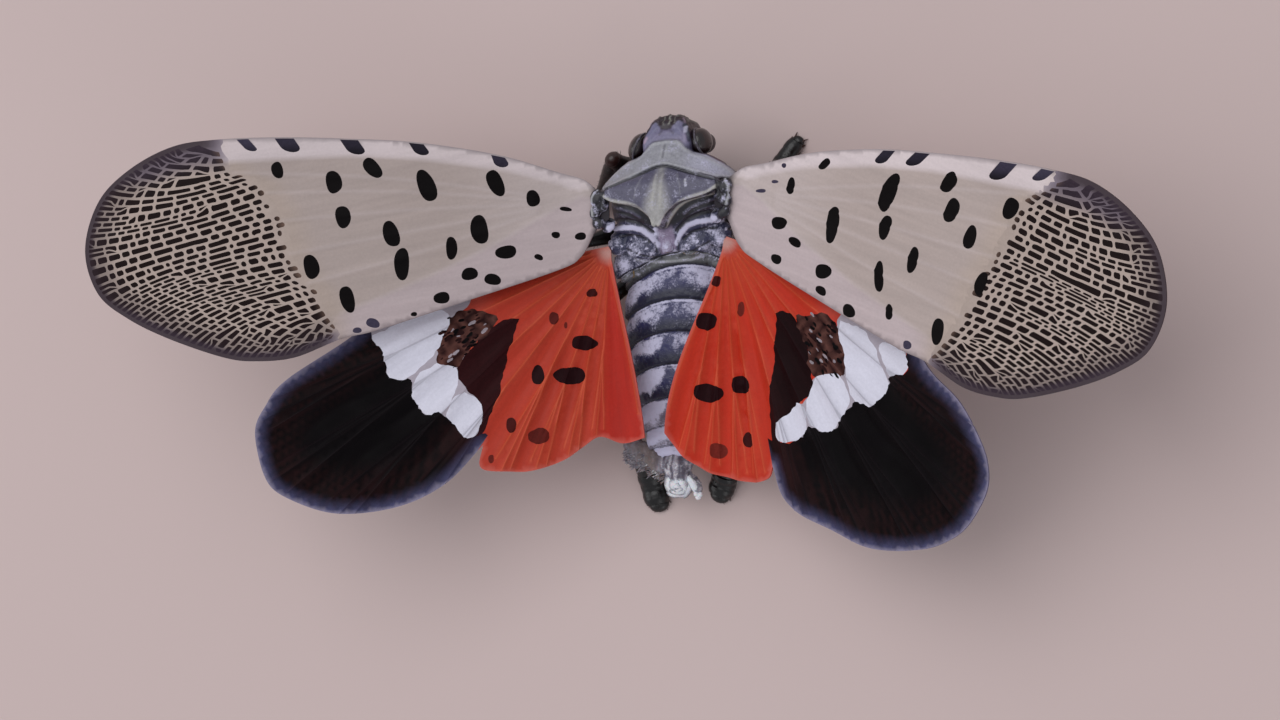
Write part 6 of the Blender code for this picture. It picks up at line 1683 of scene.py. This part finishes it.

# Legs: each is one chain of glossy dark segments, with faint paler stripes along the shins, spines, short hairs, pads
# and claws.
# The points run hip, hip joint, knee, ankle and toe, as for the right side.
HIP_Z = 1.9
HIP_JOINT_Z = 1.32
SOLE_AXIS_Z = 0.22
LEG_PATHS = {
    ("fore", "right"): [(1.2, 6.4), (1.95, 6.5), (3.3, 6.1, 3.3), (3.4, 6.95, 0.55), (4.05, 7.9)],
    ("fore", "left"): [(1.2, 6.4), (1.9, 6.7), (2.95, 7.6, 3.3), (4.4, 6.2, 0.55), (5.65, 5.8)],
    ("mid", "right"): [(1.2, 5.0), (1.95, 4.9), (4.4, 4.4, 3.3), (6.4, 2.3, 0.55), (7.5, 1.1)],
    ("mid", "left"): [(1.2, 5.0), (1.95, 4.9), (4.3, 4.2, 3.3), (6.2, 2.0, 0.55), (7.2, 0.7)],
    ("hind", "right"): [(1.2, 3.5), (1.85, 3.15), (4.2, 0.3, 3.0), (1.72, -5.6, 0.65), (1.36, -6.52)],
    ("hind", "left"): [(1.2, 3.5), (1.85, 3.15), (4.2, 0.3, 3.0), (1.66, -5.75, 0.65), (1.32, -7.05)],
}
FEMUR_RADII = [0.2, 0.3, 0.36, 0.36, 0.3, 0.24, 0.24]
TIBIA_RADII = {"fore": [0.2, 0.23, 0.21, 0.2, 0.22, 0.25], "mid": [0.2, 0.22, 0.2, 0.2, 0.22, 0.25],
               "hind": [0.22, 0.25, 0.24, 0.26, 0.36, 0.5]}
LEG_STOUTNESS = {"fore": 1.45, "mid": 1.1, "hind": 1.0}
FOOT_STOUTNESS = {"fore": 1.5, "mid": 1.1, "hind": 2.2}
TARSUS_RADII = [0.24, 0.26, 0.25, 0.26, 0.25, 0.26, 0.25, 0.21]
TIBIA_SPINES = (0.28, 0.46, 0.64, 0.82)
LEG_TONE = linear(16, 11, 12)
LEG_JOINT_TONE = linear(50, 28, 26)
CLAW_TONE = linear(58, 30, 24)
PAD_TONE = linear(17, 9, 10)
FOOT_TONE = linear(10, 5, 6)


def along_path(points, share):
    path = curve_through(points, 0.05)
    place = share * (len(path) - 1)
    return np.array([np.interp(place, np.arange(len(path)), path[:, k]) for k in range(3)])


def hairs_on(start, end, radius, number, length, rng):
    """Short hairs that lean down a segment, spread all round it."""
    made = []
    way = (end - start) / np.linalg.norm(end - start)
    across = np.cross(way, (0.3, 0.1, 1.0))
    across /= np.linalg.norm(across)
    up = np.cross(across, way)
    for share in np.linspace(0.06, 0.96, number):
        turn = rng.uniform(0.0, 2.0 * math.pi)
        out = math.cos(turn) * across + math.sin(turn) * up
        root = start + (end - start) * share + 0.85 * radius * out
        tip = root + (out * 0.62 + way * 0.78) * length * rng.uniform(0.6, 1.2) + 0.1 * radius * out
        tip[2] = max(tip[2], 0.01)
        made.append((cone(root, tip, 0.016, sides=3), LEG_TONE, 0.0, 0))
    return made


def make_leg(pair, side):
    sign = SIDES[side]
    rng = np.random.default_rng(len(pair) * 10 + sign)
    path = LEG_PATHS[(pair, side)]
    heights = (HIP_Z, HIP_JOINT_Z, path[2][2], path[3][2], SOLE_AXIS_Z)
    hip, joint, knee, ankle, toe = [np.array((sign * p[0], p[1], z)) for p, z in zip(path, heights)]
    femur_way = (knee - joint) / np.linalg.norm(knee - joint)
    reach = knee + femur_way * 0.12
    shin = (ankle - knee) / np.linalg.norm(ankle - knee)
    hang = knee + shin * 0.1
    parts = []
    elbow = np.array((hip[0], hip[1], joint[2] + 0.12))
    coxa = tube([hip + (0, 0, 0.5), hip, 0.6 * elbow + 0.4 * joint, joint], [0.5, 0.46, 0.42, 0.38, 0.3], sides=20)
    parts.append((coxa, mixed(LEG_TONE, SIDE_TONE, 0.5), 0.3, 0))
    parts.append((lump(joint, (0.31, 0.31, 0.31), rows=10, columns=18), LEG_JOINT_TONE, 0.0, 0))
    thick = LEG_STOUTNESS[pair]
    femur = tube([joint, 0.5 * (joint + reach) + (0, 0, 0.05), reach], [thick * radius for radius in FEMUR_RADII],
                 sides=20, squash=0.85, rows=26)
    share = np.linalg.norm(femur[0] - joint, axis=1) / np.linalg.norm(reach - joint)
    parts.append((femur, mixed(LEG_TONE, LEG_JOINT_TONE, smooth_step(0.86, 0.98, share) * 0.8), 0.06, 0))
    parts.append((lump(knee + femur_way * 0.04, np.full(3, 0.235 * thick), rows=10, columns=18), LEG_JOINT_TONE, 0.0, 0))
    tibia = tube([hang, 0.5 * (hang + ankle) + 0.06 * femur_way, ankle],
                 [thick * radius for radius in TIBIA_RADII[pair]], sides=18, squash=0.9, rows=40)
    verts = tibia[0]
    turn = np.arctan2(verts[:, 2] - verts[:, 2].mean(), verts[:, 0] - verts[:, 0].mean())
    share = np.linalg.norm(verts - hang, axis=1) / np.linalg.norm(ankle - hang)
    shade = mixed(LEG_TONE, LEG_JOINT_TONE, 0.4 * smooth_step(0.12, 0.0, share) + 0.12 * np.abs(np.sin(3.0 * turn)))
    parts.append((tibia, shade, 0.04, 0))
    if pair == "hind":
        outer = np.array((sign, 0.0, 0.0))
        lean = (outer + shin + (0.0, 0.0, 0.3))
        lean /= np.linalg.norm(lean)
        for place in TIBIA_SPINES:
            root = hang + (ankle - hang) * place + outer * 0.12
            parts.append((cone(root, root + lean * 0.62, 0.11, sides=8), CLAW_TONE, 0.0, 0))
        for turn in np.linspace(0.2, 2.0 * math.pi, 8)[:-1]:
            out = np.array((math.cos(turn), 0.0, math.sin(turn)))
            root = ankle + out * 0.3 - shin * 0.06
            tip = root + shin * 0.28 + out * 0.06
            parts.append((cone(root, tip, 0.07, sides=6), CLAW_TONE, 0.0, 0))

    stout = FOOT_STOUTNESS[pair]
    forward = toe - ankle
    forward[2] = 0.0
    length = np.linalg.norm(forward)
    forward /= length
    across = np.array((forward[1], -forward[0], 0.0))
    turn = math.degrees(math.atan2(-forward[0], forward[1]))
    middle = ankle + 0.45 * length * forward
    middle[2] = min(0.24 * stout, 0.36)
    foot = tube([ankle, middle, (toe[0], toe[1], min(0.2 * stout, 0.3))],
                [stout * radius for radius in TARSUS_RADII], sides=20, squash=0.8, rows=34)
    foot[0][:, 2] = np.clip(foot[0][:, 2], 0.0, 1.1)
    parts.append((foot, FOOT_TONE, 0.0, 0))
    for place in (0.36, 0.62, 0.94):
        for flip in (-1, 1):
            heel = ankle + forward * length * place + across * flip * 0.2 * stout
            heel[2] = 0.14
            tip = heel + forward * 0.14 + across * flip * 0.07
            tip[2] = 0.05
            parts.append((cone(heel, tip, 0.06, sides=5), CLAW_TONE, 0.0, 0))
    front = ankle + forward * length
    front[2] = 0.14
    parts.append((lump(front + forward * 0.02, np.array((0.2, 0.15, 0.12)) * stout, turn, rows=10, columns=16),
                  PAD_TONE, 0.0, 0))
    for flip in (-1, 1):
        root = front + across * flip * 0.1 - forward * 0.05
        root[2] = 0.2
        tip = root + forward * 0.36 + across * flip * 0.2
        tip[2] = 0.03
        parts.append((cone(root, tip, 0.075, bend=(0.0, 0.0, 0.08), sides=8), CLAW_TONE, 0.0, 0))
    parts += hairs_on(joint, knee, 0.3 * thick, 40, 0.13, rng)
    parts += hairs_on(hang, ankle, 0.22 * thick, 90 if pair == "hind" else 60, 0.16, rng)
    parts += hairs_on(ankle, front, 0.2 * stout, 30, 0.13, rng)
    for part in parts:
        part[0][0][:, 2] = np.maximum(part[0][0][:, 2], 0.0)
    return joined_shell(pair + "_limb_" + side, parts, [small_shell])


for pair, side in LEG_PATHS:
    leg = make_leg(pair, side)
    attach(leg, "root")
    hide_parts(*[pair + "_leg_" + side + "_" + segment for segment in ("coxa", "femur", "tibia", "tarsus")])

# Tail tuft: curled ribbons of white wax round the end of the body, on a lumpy core, with a
# loose lobe on the right and a brownish waxy flap on the left.
TUFT_CENTRE = np.array((0.24, -6.2, 2.3))
TUFT_AXIS = np.array((0.2, -0.42, 0.88))
TUFT_TONE = linear(222, 220, 226)
TUFT_SHADE = linear(146, 140, 152)
# Painted shade of the tuft: the core between the petals, and the lower sides of the petals, strands and knots; on the
# flap's loose fibres it darkens them at random.
TUFT_DARK = linear(84, 78, 92)
FLAP_TONE = linear(116, 102, 98)
tuft_wax = shell_material("tuft_wax", 0.7, linear(232, 230, 236), 0.012, Subsurface_Weight=0.15)
tuft_wax.node_tree.nodes["Principled BSDF"].inputs["Subsurface Scale"].default_value = 0.2 * MM


def ribbon(path, widths, thickness, face):
    """A closed flat band along a path; face is the way that its broad side looks."""
    path = curve_through(path, 0.06)
    ways = np.gradient(path, axis=0)
    ways /= np.linalg.norm(ways, axis=1)[:, None]
    rings = []
    for place, way, share in zip(path, ways, np.linspace(0.0, 1.0, len(path))):
        across = np.cross(way, face)
        across /= max(np.linalg.norm(across), 1e-6)
        up = np.cross(across, way)
        half = 0.5 * np.interp(share, np.linspace(0.0, 1.0, len(widths)), widths)
        deep = 0.5 * thickness
        rings.append([place + across * half - up * deep, place + across * 0.5 * half + up * 0.3 * deep,
                      place - across * 0.5 * half + up * 0.3 * deep, place - across * half - up * deep,
                      place - across * 0.5 * half - up * 1.6 * deep, place + across * 0.5 * half - up * 1.6 * deep])
    return lofted(rings)


def make_tuft():
    rng = np.random.default_rng(51)
    axis = TUFT_AXIS / np.linalg.norm(TUFT_AXIS)
    first = np.cross(axis, (0.0, 1.0, 0.0))
    first /= np.linalg.norm(first)
    second = np.cross(axis, first)
    blanks = [lump((0.05, -5.3, 2.25), (0.72, 0.5, 0.5)), lump((0.2, -5.75, 2.2), (0.6, 0.4, 0.45)),
              lump(TUFT_CENTRE - 0.25 * axis, (0.55, 0.52, 0.42)), lump((0.85, -6.05, 2.1), (0.5, 0.26, 0.3), -50),
              lump((-0.7, -5.25, 2.2), (0.8, 0.5, 0.3), -24), lump((-1.45, -5.1, 2.15), (0.85, 0.42, 0.22), -24),
              lump((-1.6, -4.7, 2.2), (0.75, 0.35, 0.2), -10)]
    core, quads, _ = fused(blanks, 0.04, 2)
    normals = normals_of(core, quads)
    core = core + normals * (0.05 * rough_noise(core, 5.0, 2.0) + 0.02 * rough_noise(core, 14.0, 5.0))[:, None]
    # The core is painted dark grey, darkest and least waxy in the low streaks of a noise: painted shade, which shows in
    # the gaps between the petals. Its left part takes the flap's brownish tone, and its tip is lightened only a little,
    # so that the gaps stay dark.
    furrow = rough_noise(core * (3.0, 1.0, 1.0), 2.4, 7.0)
    core_tone = mixed(TUFT_DARK, TUFT_SHADE, smooth_step(-0.3, 0.4, furrow))
    flap_tone = mixed(FLAP_TONE, TUFT_SHADE, smooth_step(-1.0, -2.2, core[:, 0]) * 0.6 + 0.25 * furrow)
    core_tone = mixed(core_tone, flap_tone, smooth_step(-0.4, -1.0, core[:, 0]) * 0.85)
    at_tip = smooth_step(-5.8, -6.05, core[:, 1])
    core_tone = mixed(core_tone, TUFT_TONE, 0.2 * at_tip)
    core_wax = (0.22 + 0.3 * furrow) * smooth_step(-0.9, -0.3, core[:, 0]) + 0.08 * at_tip
    parts = [((core, quads.tolist()), core_tone, core_wax, 0)]
    for count, radius, lift, width in ((4, 0.56, -0.04, 0.36), (3, 0.36, 0.08, 0.32), (2, 0.17, 0.14, 0.26)):
        for k in range(count):
            start = 2.0 * math.pi * (k + 0.5 * radius + rng.uniform(-0.1, 0.1)) / count
            sweep = 2.0 * math.pi * 1.25 / count
            path, ways = [], []
            for t in np.linspace(0.0, 1.0, 9):
                turn = start + sweep * t
                out = math.cos(turn) * first + math.sin(turn) * second
                ways.append(out)
                spiral = radius * (1.05 - 0.22 * t) + 0.025 * math.sin(9.0 * t + 2.0 * k)
                path.append(TUFT_CENTRE + out * spiral + axis * (lift + 0.07 * math.sin(math.pi * t)))
            shade = mixed(TUFT_TONE, TUFT_SHADE, rng.uniform(0.0, 0.25))
            face = 0.75 * axis + 0.7 * ways[4]
            petal = ribbon(path, [0.5 * width, width, 1.1 * width, width, 0.6 * width], 0.09, face)
            petal[0][:] += 0.05 * rough_noise(petal[0], 4.0, k)[:, None] * face
            # Each petal is painted dark, with little wax, on its lower part: painted shade where it sinks towards the
            # next petal, so that the petals read apart.
            height = (petal[0] - TUFT_CENTRE) @ axis - lift
            tone = mixed(np.repeat(shade[None], len(height), axis=0), TUFT_DARK, 0.95 * smooth_step(0.11, -0.04, height))
            parts.append((petal, tone, 0.7 * smooth_step(-0.02, 0.1, height), 0))
    for k in range(5):
        spread = (k - 2) / 2.0
        side_way = np.array((0.085, 0.05, 0.0)) * spread
        path = [np.array(place) + side_way * swell + (0.0, 0.0, -0.06 * spread * spread) for place, swell in
                (((0.42, -5.7, 2.36), 0.9), ((0.72, -5.86, 2.42), 0.8), ((0.96, -6.2, 2.34), 0.95), ((1.04, -6.5, 2.14), 0.6))]
        strand = tube(path, [0.05, 0.07, 0.08, 0.07, 0.03], sides=10, rows=16)
        strand[0][:] += 0.03 * rough_noise(strand[0], 5.0, k)[:, None]
        # Each strand of the lobe is painted dark, with less wax, below its path: painted shade on its underside.
        dark = smooth_step(0.02, -0.08, strand[0][:, 2] - np.interp(-strand[0][:, 1], [5.7, 5.86, 6.2, 6.6],
                                                                     [2.38, 2.43, 2.34, 2.1]))
        parts.append((strand, mixed(np.repeat(TUFT_TONE[None], len(dark), axis=0), TUFT_DARK, 0.8 * dark),
                      0.6 * (1.0 - dark), 0))
    for place in ((1.0, -6.48, 2.2), (1.14, -6.5, 2.16), (1.06, -6.62, 2.12)):
        knot = lump(place, (0.13, 0.11, 0.1), rows=12, columns=18)
        knot[0][:] += 0.03 * rough_noise(knot[0], 9.0, 3.0)[:, None]
        # Each knot's lower half is painted dark, with less wax: painted shade on its underside.
        knot_underside_shade = smooth_step(0.05, -0.06, knot[0][:, 2] - place[2])
        parts.append((knot, mixed(np.repeat(TUFT_TONE[None], len(knot_underside_shade), axis=0), TUFT_DARK, 0.7 * knot_underside_shade),
                      0.6 * (1.0 - knot_underside_shade), 0))
    for k in range(260):
        share = rng.uniform(0.0, 1.0)
        root = np.array((-0.2 - 2.0 * share, -5.75 + 0.8 * share + rng.uniform(-0.32, 0.42), 2.38 - 0.12 * share))
        way = np.array((-0.7 + rng.uniform(-0.4, 0.4), -0.3 + rng.uniform(-0.5, 0.4), rng.uniform(-0.15, 0.15)))
        length = rng.uniform(0.14, 0.34)
        path = [root, root + 0.5 * length * way + (0.0, 0.0, 0.05), root + length * way]
        parts.append((ribbon(path, [0.04, 0.075, 0.06, 0.015], 0.03, (0.0, 0.0, 1.0)),
                      mixed(mixed(FLAP_TONE, TUFT_SHADE, 0.7 * share), TUFT_DARK, rng.uniform(0.0, 0.6)),
                      rng.uniform(0.0, 0.3), 0))
    return joined_shell("tail_wax", parts, [tuft_wax])


tuft = make_tuft()
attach(tuft, "root")
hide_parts("tail_tuft")
